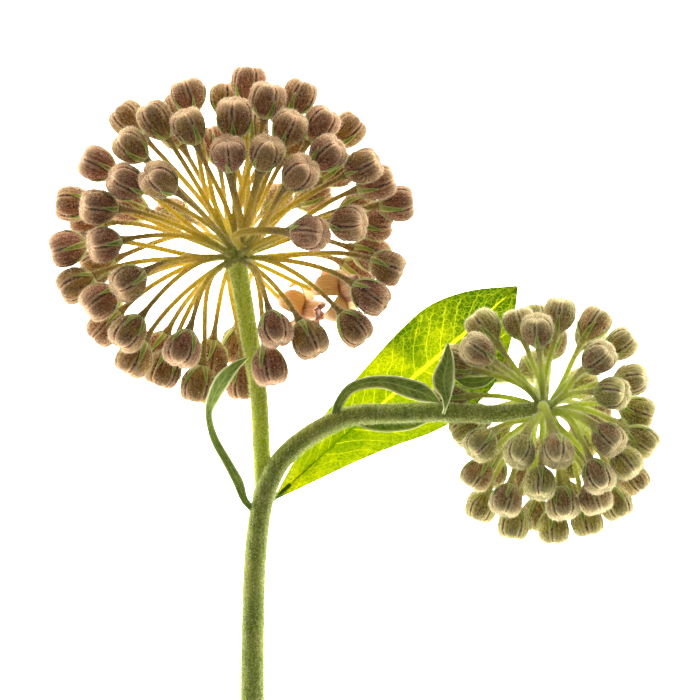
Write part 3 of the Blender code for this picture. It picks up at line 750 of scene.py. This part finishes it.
def bud_material(name, body, shade, flush, tip, groove):
    """Petals of a closed bud: streaked along, paler at the tip, maroon where two petals meet; the pale band
    on the raised petal edges is partly their paler margin, partly painted highlight.
    """
    n = Nodes(name)
    lobe, along, tint = n.value("lobe"), n.value("along"), n.value("tint")
    colour = n.mix(n.ramp(n.noise(260, 3), 0.35, 0.65), body, shade)
    colour = n.mix(n.ramp(n.maths("ADD", tint, n.noise(140, 1)), 0.7, 1.3), colour, flush)
    wander = n.maths("MULTIPLY_ADD", n.noise(600, 2), 1.8, -0.9)
    ribs = n.maths("SINE", n.maths("MULTIPLY_ADD", lobe, 17.0, wander))
    streaks = n.maths("MULTIPLY", n.ramp(ribs, 0.0, 0.9), n.ramp(n.noise(420, 2), 0.35, 0.65, 0.2, 0.9))
    colour = n.mix(streaks, colour, groove)
    colour = n.mix(n.ramp(along, 0.6, 1.0, 0.0, 0.4), colour, tip)
    colour = n.mix(n.ramp(along, 0.22, 0.0, 0.0, 0.6), colour, (0.5, 0.52, 0.2))
    ragged = n.maths("MULTIPLY_ADD", n.noise(900, 2), 0.16, -0.08)
    # Pale band on the raised edges beside each groove: partly the petals' paler margins, partly painted
    # highlight along the ridges.
    edge_pale_and_highlight = n.maths("MULTIPLY", n.ramp(lobe, 0.6, 0.78, 0.0, 0.55), n.ramp(along, 0.3, 0.7))
    colour = n.mix(edge_pale_and_highlight, colour, tip)
    near_groove = n.ramp(n.maths("ADD", lobe, ragged), 0.86, 0.94)
    reach = n.ramp(along, 0.12, 0.4, 0.0, 0.92)
    colour = n.mix(n.maths("MULTIPLY", near_groove, reach), colour, groove)
    red = n.maths("MULTIPLY", n.ramp(along, 0.8, 0.9), n.ramp(lobe, 0.8, 0.95, 0.0, 0.7))
    colour = n.mix(red, colour, (0.42, 0.1, 0.06))
    specks = n.ramp(n.noise(4600, 2, 0.6), 0.5, 0.66, 0.0, 0.6)
    colour = n.mix(specks, colour, tip)
    pits = n.ramp(n.noise(5600, 2, 0.6), 0.46, 0.3, 0.0, 0.6)
    colour = n.mix(pits, colour, groove)
    relief = n.maths("ADD", n.maths("MULTIPLY", ribs, 0.35), n.noise(4200, 3, 0.6))
    glow = n.mix(0.6, colour, flush)
    return n.skin(colour, glow, 0.08, 0.85, n.bump(relief, 0.6, 0.00014), 1.0, (1.0, 0.86, 0.62))


def sepal_material():
    n = Nodes("sepal")
    along, out = n.value("along"), n.value("lobe")
    colour = n.mix(n.ramp(n.noise(900, 2), 0.35, 0.65), (0.15, 0.24, 0.02), (0.28, 0.38, 0.05))
    colour = n.mix(n.ramp(along, 0.0, 0.5, 0.9, 0.0), colour, (0.36, 0.32, 0.1))
    colour = n.mix(n.ramp(out, 0.4, 0.9, 0.0, 0.8), colour, (0.66, 0.66, 0.3))
    colour = n.mix(n.ramp(n.noise(5200, 2, 0.6), 0.54, 0.7, 0.0, 0.6), colour, (0.66, 0.7, 0.45))
    glow = n.mix(0.5, colour, (0.35, 0.6, 0.05))
    return n.skin(colour, glow, 0.25, 0.8, n.bump(n.noise(4000, 2), 0.4, 0.0001), 0.8, (1, 1, 0.8))


def pedicel_material(name, near_hub_tone_and_painted_glow, middle, near_bud, glow_colour):
    n = Nodes(name)
    along = n.value("along")
    # Yellower near the hub: partly the pedicels' own colour, partly painted glow of the light that shines
    # through them there.
    colour = n.mix(n.ramp(along, 0.0, 0.4), near_hub_tone_and_painted_glow, middle)
    colour = n.mix(n.ramp(along, 0.55, 0.97), colour, near_bud)
    colour = n.mix(n.ramp(n.noise(500, 2), 0.35, 0.7, 0.0, 0.35), colour, near_hub_tone_and_painted_glow)
    colour = n.mix(n.ramp(n.noise(5200, 2, 0.6), 0.5, 0.66, 0.0, 0.55), colour, (0.8, 0.74, 0.45))
    glow = n.mix(n.ramp(along, 0.45, 1.0), glow_colour, near_bud)
    return n.skin(colour, glow, 0.32, 0.8, n.bump(n.noise(3600, 2), 0.4, 0.0001), 1.0, (1, 0.95, 0.62))


def stem_material(name, dark, light, warm, glow_share):
    n = Nodes(name)
    place = n.place()
    fibres = n.add("Mapping", {"Vector": place, "Scale": (1.0, 0.14, 0.5)}).outputs[0]
    streak = n.noise(1500, 3, 0.6, fibres)
    colour = n.mix(n.ramp(streak, 0.35, 0.68), dark, light)
    colour = n.mix(n.ramp(n.noise(160, 2), 0.42, 0.7, 0.0, 0.5), colour, warm)
    colour = n.mix(n.ramp(n.noise(3000, 3, 0.65), 0.5, 0.64, 0.0, 0.6), colour, (0.66, 0.68, 0.36))
    colour = n.mix(n.ramp(n.noise(3800, 2, 0.6), 0.46, 0.32, 0.0, 0.6), colour, (0.05, 0.09, 0.01))
    relief = n.maths("ADD", n.maths("MULTIPLY", streak, 0.6), n.noise(3000, 3, 0.6))
    return n.skin(colour, (0.7, 0.8, 0.05), glow_share, 0.8, n.bump(relief, 0.6, 0.00018), 1.0, (1, 1, 0.65))


def large_leaf_material():
    """A thin blade that the light behind shines through, with side veins and a fine pale net."""
    n = Nodes("large_leaf")
    share, along = n.value("lobe"), n.value("along")
    place = n.place()
    out = n.maths("ABSOLUTE", share)
    sweep = n.maths("MULTIPLY", n.maths("POWER", out, 1.25), SIDE_VEIN_SWEEP)
    wander = n.maths("MULTIPLY_ADD", n.noise(160, 2), 0.8, -0.4)
    side = n.maths("MULTIPLY_ADD", n.maths("GREATER_THAN", share, 0.0), 0.5, wander)
    step = n.maths("ADD", n.maths("SUBTRACT", n.maths("MULTIPLY", along, SIDE_VEINS), sweep), side)
    gap = n.maths("ABSOLUTE", n.maths("SUBTRACT", n.maths("FRACT", step), 0.5))
    side_vein = n.maths("MULTIPLY", n.ramp(gap, 0.46, 0.49), n.ramp(out, 0.95, 0.75))
    net = n.add("TexVoronoi", {"Vector": place, "Scale": 760.0}, feature="DISTANCE_TO_EDGE").outputs[0]
    fine = n.add("TexVoronoi", {"Vector": place, "Scale": 1700.0}, feature="DISTANCE_TO_EDGE").outputs[0]
    tipwards = n.maths("ADD", n.ramp(along, 0.4, 0.8), n.ramp(out, 0.45, 0.85, 0.0, 0.45), clamp=True)
    net_vein = n.maths("MULTIPLY", n.ramp(net, 0.04, 0.01), n.maths("MULTIPLY_ADD", tipwards, 0.8, 0.12))
    fine_vein = n.maths("MULTIPLY", n.ramp(fine, 0.12, 0.02), n.maths("MULTIPLY_ADD", tipwards, 0.3, 0.12))
    blade = n.mix(n.ramp(n.noise(110, 3), 0.3, 0.7), (0.3, 0.37, 0.0), (0.5, 0.52, 0.0))
    darker = n.maths("ADD", along, n.maths("MULTIPLY", n.noise(90, 1), 0.8))
    blade = n.mix(n.ramp(darker, 0.85, 1.25, 0.0, 0.9), blade, (0.035, 0.13, 0.0))
    blade = n.mix(n.ramp(n.noise(2600, 2), 0.42, 0.62, 0.0, 0.55), blade, (0.08, 0.17, 0.0))
    nets = n.maths("MAXIMUM", net_vein, fine_vein)
    colour = n.mix(n.maths("MULTIPLY", n.maths("MAXIMUM", nets, side_vein), 0.75), blade, (0.8, 0.78, 0.12))
    rib = n.ramp(out, 0.042, 0.02)
    rib_colour = n.mix(n.ramp(along, 0.3, 0.5), (0.12, 0.26, 0.0), (0.85, 0.88, 0.1))
    colour = n.mix(n.maths("MULTIPLY", rib, 0.9), colour, rib_colour)
    relief = n.maths("SUBTRACT", n.noise(1500, 2), n.maths("MAXIMUM", nets, side_vein))
    return n.skin(colour, colour, 0.72, 0.5, n.bump(relief, 0.5, 0.0002), 0.1, (1, 1, 0.8))


def folded_leaf_material(name, dark, light, vein, down):
    n = Nodes(name)
    share, along = n.value("lobe"), n.value("along")
    colour = n.mix(n.ramp(n.noise(420, 3), 0.35, 0.65), dark, light)
    sweep = n.maths("MULTIPLY", n.maths("ABSOLUTE", share), 9.0)
    stripes = n.maths("SINE", n.maths("SUBTRACT", n.maths("MULTIPLY", along, 90.0), sweep))
    colour = n.mix(n.ramp(stripes, 0.75, 1.0, 0.0, 0.5), colour, vein)
    edge = n.ramp(n.maths("ABSOLUTE", share), 0.78, 0.9, 0.0, 0.85)
    colour = n.mix(edge, colour, (0.88, 0.92, 0.56))
    rib = n.ramp(n.maths("ABSOLUTE", share), 0.16, 0.06, 0.0, 0.7)
    colour = n.mix(rib, colour, vein)
    colour = n.mix(n.ramp(n.noise(4200, 3, 0.6), 0.5, 0.66, 0.0, down), colour, (0.7, 0.76, 0.34))
    glow = n.mix(0.5, colour, (0.4, 0.66, 0.1))
    return n.skin(colour, glow, 0.12, 0.65, n.bump(n.noise(3000, 3), 0.4, 0.00012), 0.8, (1, 1, 0.9))


def flower_material(name, inner, outer, streak, share):
    n = Nodes(name)
    lobe, along = n.value("lobe"), n.value("along")
    colour = n.mix(n.ramp(along, 0.1, 0.9), inner, outer)
    lines = n.maths("SINE", n.maths("MULTIPLY_ADD", lobe, 26.0, n.maths("MULTIPLY", n.noise(500, 2), 6.0)))
    colour = n.mix(n.ramp(lines, 0.4, 1.0, 0.0, 0.4), colour, streak)
    colour = n.mix(n.ramp(n.noise(420, 2), 0.45, 0.7, 0.0, 0.4), colour, (0.75, 0.3, 0.2))
    return n.skin(colour, colour, share, 0.55, n.bump(lines, 0.25, 0.0001), 0.3, (1, 0.95, 0.9))


def down_material(name, colour):
    """Hairs, each far thinner than any pattern on it."""
    n = Nodes(name)
    hair = n.add("BsdfPrincipled", {"Base Color": colour, "Roughness": 0.6})
    n.add("OutputMaterial", {"Surface": hair.outputs["BSDF"]})
    return n.material


LOOK = {
    "left": {
        "bud": bud_material("left_bud", (0.18, 0.088, 0.016), (0.27, 0.165, 0.018), (0.25, 0.09, 0.045),
                            (0.78, 0.54, 0.34), (0.05, 0.007, 0.01)),
        # The first pedicel colour, near the hub, is partly painted glow of light shining through.
        "pedicel": pedicel_material("left_pedicel", (0.42, 0.42, 0.02), (0.32, 0.22, 0.03),
                                    (0.24, 0.14, 0.05), (0.95, 0.76, 0.03)),
        "down": down_material("left_down", (1.0, 0.93, 0.74)),
    },
    "right": {
        "bud": bud_material("right_bud", (0.21, 0.21, 0.025), (0.33, 0.31, 0.045), (0.26, 0.14, 0.06),
                            (0.82, 0.76, 0.42), (0.07, 0.014, 0.01)),
        # The first pedicel colour, near the hub, is partly painted glow of light shining through.
        "pedicel": pedicel_material("right_pedicel", (0.38, 0.46, 0.04), (0.42, 0.47, 0.09),
                                    (0.4, 0.36, 0.11), (0.8, 0.9, 0.05)),
        "down": down_material("right_down", (0.98, 0.97, 0.74)),
    },
    "sepal": sepal_material(),
    "stem": stem_material("stem", (0.1, 0.15, 0.014), (0.24, 0.3, 0.04), (0.34, 0.36, 0.08), 0.08),
    "peduncle": stem_material("peduncle", (0.2, 0.25, 0.014), (0.42, 0.46, 0.05), (0.5, 0.5, 0.08), 0.2),
    "stem_down": down_material("stem_down", (0.92, 0.94, 0.62)),
    "leaf": large_leaf_material(),
    "outer": folded_leaf_material("leaf_outer", (0.16, 0.26, 0.03), (0.3, 0.42, 0.07),
                                  (0.56, 0.66, 0.24), 0.5),
    "inner": folded_leaf_material("leaf_inner", (0.07, 0.19, 0.004), (0.16, 0.34, 0.01),
                                  (0.42, 0.56, 0.1), 0.2),
    "petal": flower_material("petal", (0.66, 0.44, 0.16), (0.74, 0.44, 0.28), (0.42, 0.12, 0.1), 0.16),
    "hood": flower_material("hood", (0.5, 0.28, 0.24), (0.82, 0.6, 0.52), (0.3, 0.1, 0.12), 0.1),
    "column": flower_material("column", (0.1, 0.08, 0.03), (0.03, 0.012, 0.01), (0.02, 0.01, 0.01), 0.05),
}


# --- Hairs ---


def add_down(piece, grid, count, length, material, rng):
    """Short hairs, each a slim three-sided spike, standing out of a surface given by its grid."""
    wrapped = np.concatenate([grid, grid[:, :1]], axis=1)
    r = rng.integers(0, len(grid) - 1, count)
    c = rng.integers(0, wrapped.shape[1] - 1, count)
    a, b, d = wrapped[r, c], wrapped[r, c + 1], wrapped[r + 1, c]
    u, v = rng.random((2, count, 1))
    root = a + u * (b - a) + v * (d - a)
    normal = np.cross(b - a, d - a)
    size = np.linalg.norm(normal, axis=1)
    kept = size > 1e-6
    kept &= rng.random(count) < size / np.percentile(size, 90)
    root, normal, along = root[kept], unit(normal[kept]), (d - a)[kept]
    along = along / (np.linalg.norm(along, axis=1, keepdims=True) + 1e-9)
    side = np.cross(normal, along)
    spread = rng.normal(0, HAIR_SPREAD, (2, len(root), 1))
    way = unit(normal + (HAIR_LEAN + spread[0]) * along + spread[1] * side)
    reach = length * (0.6 + 0.8 * rng.random((len(root), 1)))
    half = HAIR_WIDTH / 2
    base = root - HAIR_ROOT * normal
    corners = [
        base + half * (math.cos(angle) * side + math.sin(angle) * along)
        for angle in (0.0, 2 * math.pi / 3, 4 * math.pi / 3)
    ]
    points = np.stack([*corners, root + reach * way], axis=1).reshape(-1, 3)
    first = 4 * np.arange(len(root))[:, None]
    faces = [first + np.array(f) for f in ((0, 2, 1), (0, 1, 3), (1, 2, 3), (2, 0, 3))]
    piece.add(points, faces, material)


# --- Florets ---


def petal_angle(angles):
    """How far each angle round a bud is from the middle of its petal: 0 there, 1 at a groove."""
    turn = angles / (2 * math.pi) * PETALS
    return np.abs((turn - np.round(turn)) * 2)


def bud_rings(length, radius, rng):
    """A closed bud with its base at the origin, pointing along +Z, and its lobe and along values."""
    outline = smooth_path([(r, h, 0.0) for r, h in BUD_OUTLINE], 3)[:, :2]
    angles = 2 * math.pi * np.arange(BUD_AROUND) / BUD_AROUND
    lobe = petal_angle(angles)
    shape = rng.normal(0, 0.03, 4)
    depth = np.interp(outline[:, 1], *zip(*GROOVE_DEPTH))
    past_top = np.arange(len(outline)) > outline[:, 1].argmax()
    depth = np.where(past_top, GROOVE_DEPTH[-1][1], depth)
    edge = PETAL_EDGE * np.exp(-(((lobe - 0.8) / 0.1) ** 2))
    reach = radius * outline[:, :1] * (1 + edge - depth[:, None] * lobe**GROOVE_SHARPNESS)
    reach = reach * (1 + shape[0] * np.cos(angles + shape[1] * 40))
    drop = 0.05 * length * np.clip((outline[:, 1:] - 0.8) / 0.2, 0, 1) * lobe**2
    height = length * outline[:, 1:] * (1 + shape[2]) - drop
    rings = np.stack([reach * np.cos(angles), reach * np.sin(angles), height + 0 * reach], axis=2)
    along = np.where(past_top, 1.0, outline[:, 1])[:, None] + 0 * reach
    return rings, lobe[None] + 0 * reach, along


def stand(points, base, axes):
    """Points made along +Z at the origin, moved to base with their X, Y and Z along the axes."""
    return base + points @ np.array(axes)


def add_sepals(piece, length, radius, base, axes, tint, rng):
    """Five narrow sepals that hug the bud over its grooves, their tips a little free."""
    outline = smooth_path([(r, h, 0.0) for r, h in BUD_OUTLINE], 6)[:, :2]
    rise = np.linspace(0, 1, 9)
    across = np.linspace(-1, 1, 5)
    for number in range(PETALS):
        size = rng.uniform(0.8, 1.2)
        heights = (0.01 + SEPAL_REACH * size * rise) * length
        hug = radius * np.interp(heights / length, outline[:, 1], outline[:, 0]) + 0.14
        lift = rng.uniform(0.0, 0.4) * rise**3
        widths = SEPAL_HALF_WIDTH * size * (1 - rise) ** 0.7 * (0.75 + 0.9 * rise * (1 - rise)) + 0.03
        middle = 2 * math.pi * (number + 0.5) / PETALS + rng.normal(0, 0.08)
        lean = rng.normal(0, 0.12) * rise
        reach = (hug + lift)[:, None] + 0.1 * across**2 - 0.06
        turn = middle + lean[:, None] + across * (widths / np.maximum(hug, 0.8))[:, None]
        grid = np.stack([reach * np.cos(turn), reach * np.sin(turn), heights[:, None] + 0 * turn], axis=2)
        add_sheet(piece, stand(grid, base, axes), 0.13, LOOK["sepal"],
                  along=rise[:, None], lobe=np.abs(across), tint=tint)


def add_floret(piece, umbel, number, curves, axis, down, rng):
    """One pedicel with its bud, sepals and down."""
    plan = umbel.plan
    look = LOOK[plan["name"]]
    points = [each[number] for each in curves]
    length = plan["bud_length"] * rng.uniform(0.94, 1.02)
    radius = plan["bud_radius"] * rng.uniform(0.94, 1.02)
    tint = rng.random()
    t = np.linspace(0, 1, PEDICEL_RINGS)
    t = 1 - (1 - t) ** 1.25
    path = bezier(*points, t)
    path = np.vstack([path[0] - 1.2 * unit(path[1] - path[0]), path])
    to_bud = np.linalg.norm(path - path[-1], axis=1)
    flare = np.clip(1 - to_bud / PEDICEL_FLARE_LENGTH, 0, 1) ** 2
    girth = PEDICEL_GIRTH * (STOUT if number in STOUT_FLORETS[plan["name"]] else 1)
    thick = girth * plan["pedicel_radius"] * (1 + 0.12 * np.exp(-np.arange(len(path)) / 2.0))
    radii = thick + flare * (0.27 * radius - plan["pedicel_radius"])
    stalk = tube(path, radii, PEDICEL_SIDES)
    share = np.concatenate([[0.0], t])[:, None] + np.zeros(PEDICEL_SIDES)
    add_loft(piece, stalk, look["pedicel"], along=share, tint=tint)

    u, v = sides_along(path)[-1]
    spin = rng.uniform(0, 2 * math.pi)
    side = math.cos(spin) * u + math.sin(spin) * v
    axes = (side, np.cross(axis, side), axis)
    rings, lobe, along = bud_rings(length, radius, rng)
    rings = stand(rings, points[3], axes)
    add_loft(piece, rings, look["bud"], lobe=lobe, along=along, tint=tint)
    add_sepals(piece, length, radius, points[3], axes, tint, rng)
    add_down(down, rings, BUD_HAIRS, HAIR_LENGTH, look["down"], rng)
    add_down(down, stalk, PEDICEL_HAIRS, 0.8 * HAIR_LENGTH, look["down"], rng)


def make_umbel(umbel, seed):
    curves, axes = umbel.curves(), umbel.axes()
    side = umbel.plan["name"]
    for place, spray in enumerate(umbel.sprays, start=1):
        rng = np.random.default_rng(seed + place)
        piece, down = Piece(), Piece()
        for number in spray:
            add_floret(piece, umbel, number, curves, axes[number], down, rng)
        node = f"{side}_bud_spray_{place:02d}"
        piece.make(f"{side}_florets_{place:02d}", f"{side}_bud", [node])
        down.make(f"{side}_down_{place:02d}", f"{side}_bud", [node])


# --- Stem ---


def make_stem(name, look, branches, knobs, replaced):
    """Branches and knobs grown together into one skin, with its down."""
    parts, down = Piece(), Piece()
    rng = np.random.default_rng(len(name))
    for path, radii in branches:
        line = smooth_path(path, 16)
        rings = tube(line, stem_radii(len(line), radii), 40)
        add_loft(parts, rings, LOOK["stem"])
        span = np.linalg.norm(np.diff(line, axis=0), axis=1).sum()
        add_down(down, rings, int(span * STEM_HAIRS), HAIR_LENGTH, LOOK["stem_down"], rng)
    for centre, radius in knobs:
        add_knob(parts, np.array(centre), radius)
    rough = bpy.data.meshes.new(name)
    rough.from_pydata(np.concatenate(parts.points), [], parts.faces)
    helper = bpy.data.objects.new(name, rough)
    bpy.context.scene.collection.objects.link(helper)
    remesh = helper.modifiers.new("Skin", "REMESH")
    remesh.mode = "VOXEL"
    remesh.voxel_size = STEM_VOXEL
    smooth = helper.modifiers.new("Smooth", "SMOOTH")
    smooth.factor = 0.5
    smooth.iterations = 8
    graph = bpy.context.evaluated_depsgraph_get()
    skin = bpy.data.meshes.new_from_object(helper.evaluated_get(graph))
    bpy.data.objects.remove(helper, do_unlink=True)
    skin.transform(Matrix.Translation(Vector(SHIFT)))
    skin.transform(Matrix.Scale(MM, 4))
    skin.materials.clear()
    skin.materials.append(LOOK[look])
    skin.shade_smooth()
    add_to_frame(bpy.data.objects.new(name + "_skin", skin), replaced)
    down.make(name + "_down", "stem", replaced)


def make_stubs():
    """Short pale ends of pedicels on the front of the left hub."""
    piece = Piece()
    for pointing, length in STUBS:
        way = unit(np.array(pointing))
        heights = np.array((-1.0, 0.0, 0.5, 0.85, 1.0)) * length
        path = np.array(LEFT_UMBEL["hub"]) + (HUB_RADIUS - 0.4) * way + np.outer(heights, way)
        path += np.outer(np.clip(heights, 0, None) ** 2 * 0.06, (0.0, 1.0, 0.0))
        radii = STUB_RADIUS * np.array((1.0, 0.95, 0.9, 0.8, 0.45))
        share = np.linspace(0.75, 1.0, len(path))[:, None] + np.zeros(PEDICEL_SIDES)
        add_loft(piece, tube(path, radii, PEDICEL_SIDES), LOOK["right"]["pedicel"], along=share)
    piece.make("left_stubs", "stem", ["left_receptacle"])


def make_stems():
    branches = [(STEM_PATH, STEM_RADII), (RIGHT_PEDUNCLE_PATH, RIGHT_PEDUNCLE_RADII)]
    knobs = [*STEM_NODES, (RIGHT_UMBEL["hub"], HUB_RADIUS)]
    make_stem("main_stem", "stem", branches, knobs, ["main_stem", "right_peduncle", "right_receptacle"])
    branches = [((*FORK_PATH, *LEFT_PEDUNCLE_PATH[2:]), LEFT_PEDUNCLE_RADII)]
    knobs = [(LEFT_UMBEL["hub"], HUB_RADIUS)]
    make_stem("left_peduncle", "peduncle", branches, knobs, ["left_peduncle", "left_receptacle"])
    make_stubs()


def add_knob(piece, centre, radius):
    """A round swelling."""
    line = centre + np.outer(np.linspace(-0.995, 0.995, 17), (0.0, radius, 0.0))
    radii = np.sqrt(radius**2 - np.linalg.norm(line - centre, axis=1) ** 2)
    add_loft(piece, tube(line, radii, 24), LOOK["stem"])


# --- Leaves ---


def make_large_leaf():
    shares = np.linspace(-1, 1, LARGE_LEAF_COLUMNS)
    grid = large_leaf_rows(LARGE_LEAF_ROWS, shares)
    t = np.linspace(0, 1, len(grid))[:, None]
    out = np.abs(shares)
    grid[..., 2] -= 0.7 * np.exp(-((out / 0.1) ** 2))
    swell = np.sin(2 * math.pi * side_vein_turn(t, shares))
    grid[..., 2] += 0.12 * swell * out * (1 - t)
    piece = Piece()
    thickness = 0.14 + 0.7 * np.exp(-((out / 0.03) ** 2)) * (1.05 - t)
    add_sheet(piece, grid, thickness, LOOK["leaf"], lobe=shares, along=t)
    path = smooth_path(LARGE_LEAF_STALK, 6)
    radii = np.linspace(*LARGE_LEAF_STALK_RADII, len(path))
    add_loft(piece, tube(path, radii, PEDICEL_SIDES), LOOK["leaf"])
    piece.make("large_leaf_blade", "leaf", ["large_leaf"])


def side_vein_turn(along, share):
    """Which side vein a place on the large leaf is at: a whole number on each vein."""
    out = np.abs(share)
    return SIDE_VEINS * along - SIDE_VEIN_SWEEP * out**1.25 + 0.5 * (share > 0)


def make_folded_leaf(node, outline):
    """A narrow leaf folded along its midrib, pale outside and dark inside."""
    if node in LEAF_ROOTS:
        outline = ((LEAF_ROOTS[node], outline[0][1]), *outline)
    middle = smooth_path([point for point, _ in outline], LEAF_ROWS)
    widths = np.maximum(widths_along([width for _, width in outline], len(middle)), 0.05)
    t = np.linspace(0, 1, len(middle))
    along = unit(np.gradient(middle, axis=0))
    side = unit(np.cross((0.0, 0.0, 1.0), along))
    up = np.cross(along, side)
    shares = np.linspace(-1, 1, 21)
    rise = LEAF_FOLD * np.abs(shares) ** 1.5 * widths[:, None]
    rise += 0.1 * np.sin(23 * t)[:, None] * np.abs(shares) * np.minimum(widths, 1)[:, None]
    grid = middle[:, None] + side[:, None] * (shares * widths[:, None])[..., None]
    grid = grid + up[:, None] * rise[..., None]
    piece = Piece()
    add_sheet(piece, grid, 0.2, LOOK["inner"], LOOK["outer"], lobe=shares, along=t[:, None])
    piece.make(node + "_blade", "leaf_back", [node])


# --- Open flowers ---


def add_flower_petal(piece, centre, axes, turn, rng):
    """A petal that starts under the crown and folds back along the pedicel."""
    t = np.linspace(0, 1, 12)
    across = np.linspace(-1, 1, 9)
    fold = 2.3 * t**0.9
    reach = 1.5 + 4.1 * np.sin(fold)
    height = 0.4 - 5.0 * (1 - np.cos(fold)) / 1.6
    widths = 2.4 * np.sin(math.pi * (0.16 + 0.84 * t) ** 0.9) ** 0.6 + 0.05
    turn = turn + rng.normal(0, 0.06)
    reach = reach[:, None] - 0.5 * across**2 * t[:, None]
    sideways = across * widths[:, None]
    x = reach * math.cos(turn) - sideways * math.sin(turn)
    y = reach * math.sin(turn) + sideways * math.cos(turn)
    grid = np.stack([x, y, height[:, None] + 0.25 * across**2], axis=2)
    add_sheet(piece, stand(grid, centre, axes), 0.16, LOOK["petal"], along=t[:, None], lobe=across)


def add_hood(piece, centre, axes, turn):
    """A hood of the crown: an upright scoop, open towards the column, with a rolled rim."""
    t = np.linspace(0, 1, 12)
    across = np.linspace(-1, 1, 11)
    bend = 2.1 * across
    radius = 1.15 * (0.55 + 0.6 * np.sin(math.pi * t**0.8))[:, None]
    outwards = 1.45 + 0.5 * t[:, None] + radius * np.cos(bend) * 0.75
    sideways = radius * np.sin(bend)
    height = 0.5 + (3.3 - 0.5 * np.abs(across)) * t[:, None]
    x = outwards * math.cos(turn) - sideways * math.sin(turn)
    y = outwards * math.sin(turn) + sideways * math.cos(turn)
    grid = np.stack([x, y, height], axis=2)
    add_sheet(piece, stand(grid, centre, axes), 0.28, LOOK["hood"], along=t[:, None], lobe=across)


def make_flower(number, place):
    rng = np.random.default_rng(700 + number)
    centre, facing = flower_centre(place), unit(np.array(place[2]))
    hub = np.array(LEFT_UMBEL["hub"])
    root = unit(centre - hub - np.array((0.0, 0.0, FLOWER_DROOP)))
    start = hub + (HUB_RADIUS - FLOWER_ROOT) * root
    span = np.linalg.norm(centre - start)
    first = start + FLOWER_HANDLES[0] * span * root
    second = centre - FLOWER_HANDLES[1] * span * facing
    path = bezier(start, first, second, centre, np.linspace(0, 1, PEDICEL_RINGS))
    piece = Piece()
    radii = np.full(len(path), LEFT_UMBEL["pedicel_radius"])
    share = np.linspace(0, 0.6, len(path))[:, None] + np.zeros(PEDICEL_SIDES)
    add_loft(piece, tube(path, radii, PEDICEL_SIDES), LOOK["left"]["pedicel"], along=share)
    u, v = sides_along(path)[-1]
    axes = (u, v, facing)
    low, high = COLUMN_OUTLINE[0][0], COLUMN_OUTLINE[-1][0]
    heights = np.linspace(low, high, 9)
    girth = np.interp(heights, *zip(*COLUMN_OUTLINE))
    add_loft(piece, tube(centre + np.outer(heights, facing), girth, 20), LOOK["column"],
             along=(heights / high)[:, None] + np.zeros(20))
    for k in range(PETALS):
        turn = 2 * math.pi * k / PETALS
        add_flower_petal(piece, centre, axes, turn, rng)
        add_hood(piece, centre, axes, turn + math.pi / PETALS)
    piece.make(f"flower_{number}", "petal", [f"open_flower_{number}"])


# --- Stage ---


def make_stage():
    mesh = bpy.data.meshes.new("floor")
    corners = [(x * FLOOR_HALF, y * FLOOR_HALF, 0) for x, y in ((-1, -1), (1, -1), (1, 1), (-1, 1))]
    mesh.from_pydata(corners, [], [(0, 1, 2, 3)])
    n = Nodes("floor")
    white = n.add("BsdfPrincipled", {"Base Color": (0.9, 0.9, 0.9), "Roughness": 0.9,
                                     "Emission Color": FLOOR_COLOUR, "Emission Strength": FLOOR_GLOW})
    n.add("OutputMaterial", {"Surface": white.outputs["BSDF"]})
    mesh.materials.append(n.material)
    floor = bpy.data.objects.new("floor", mesh)
    floor.location = (0, 0, FLOOR_HEIGHT)
    bpy.context.scene.collection.objects.link(floor)
    world = bpy.data.worlds.new("studio")
    bpy.context.scene.world = world
    world.use_nodes = True
    world.node_tree.nodes["Background"].inputs["Color"].default_value = STUDIO_COLOUR
    world.node_tree.nodes["Background"].inputs["Strength"].default_value = STUDIO_GLOW


def add_soft_light(name, place, aim, size, power):
    light = bpy.data.lights.new(name, "AREA")
    light.size = size
    light.energy = power
    obj = bpy.data.objects.new(name, light)
    obj.location = place
    obj.rotation_euler = (Vector(aim) - Vector(place)).to_track_quat("-Z", "Y").to_euler()
    bpy.context.scene.collection.objects.link(obj)


def make_camera():
    camera = bpy.data.cameras.new("camera")
    camera.sensor_width = SENSOR
    camera.lens = SENSOR * CAMERA_HEIGHT / VIEW_WIDTH
    camera.clip_start = 0.05
    obj = bpy.data.objects.new("camera", camera)
    obj.location = Vector((np.array(VIEW_MIDDLE) + SHIFT + (0, 0, CAMERA_HEIGHT)) * MM)
    bpy.context.scene.collection.objects.link(obj)
    bpy.context.scene.camera = obj


make_stage()
add_soft_light("key", **KEY_LIGHT)
make_camera()
bpy.context.scene.view_settings.view_transform = "Standard"

obstacles = umbel_obstacles()
make_umbel(Umbel(LEFT_UMBEL, obstacles), 100)
make_umbel(Umbel(RIGHT_UMBEL, obstacles), 200)
make_stems()
make_large_leaf()
for node, outline in FOLDED_LEAVES.items():
    make_folded_leaf(node, outline)
for number, place in enumerate(FLOWERS, start=1):
    make_flower(number, place)
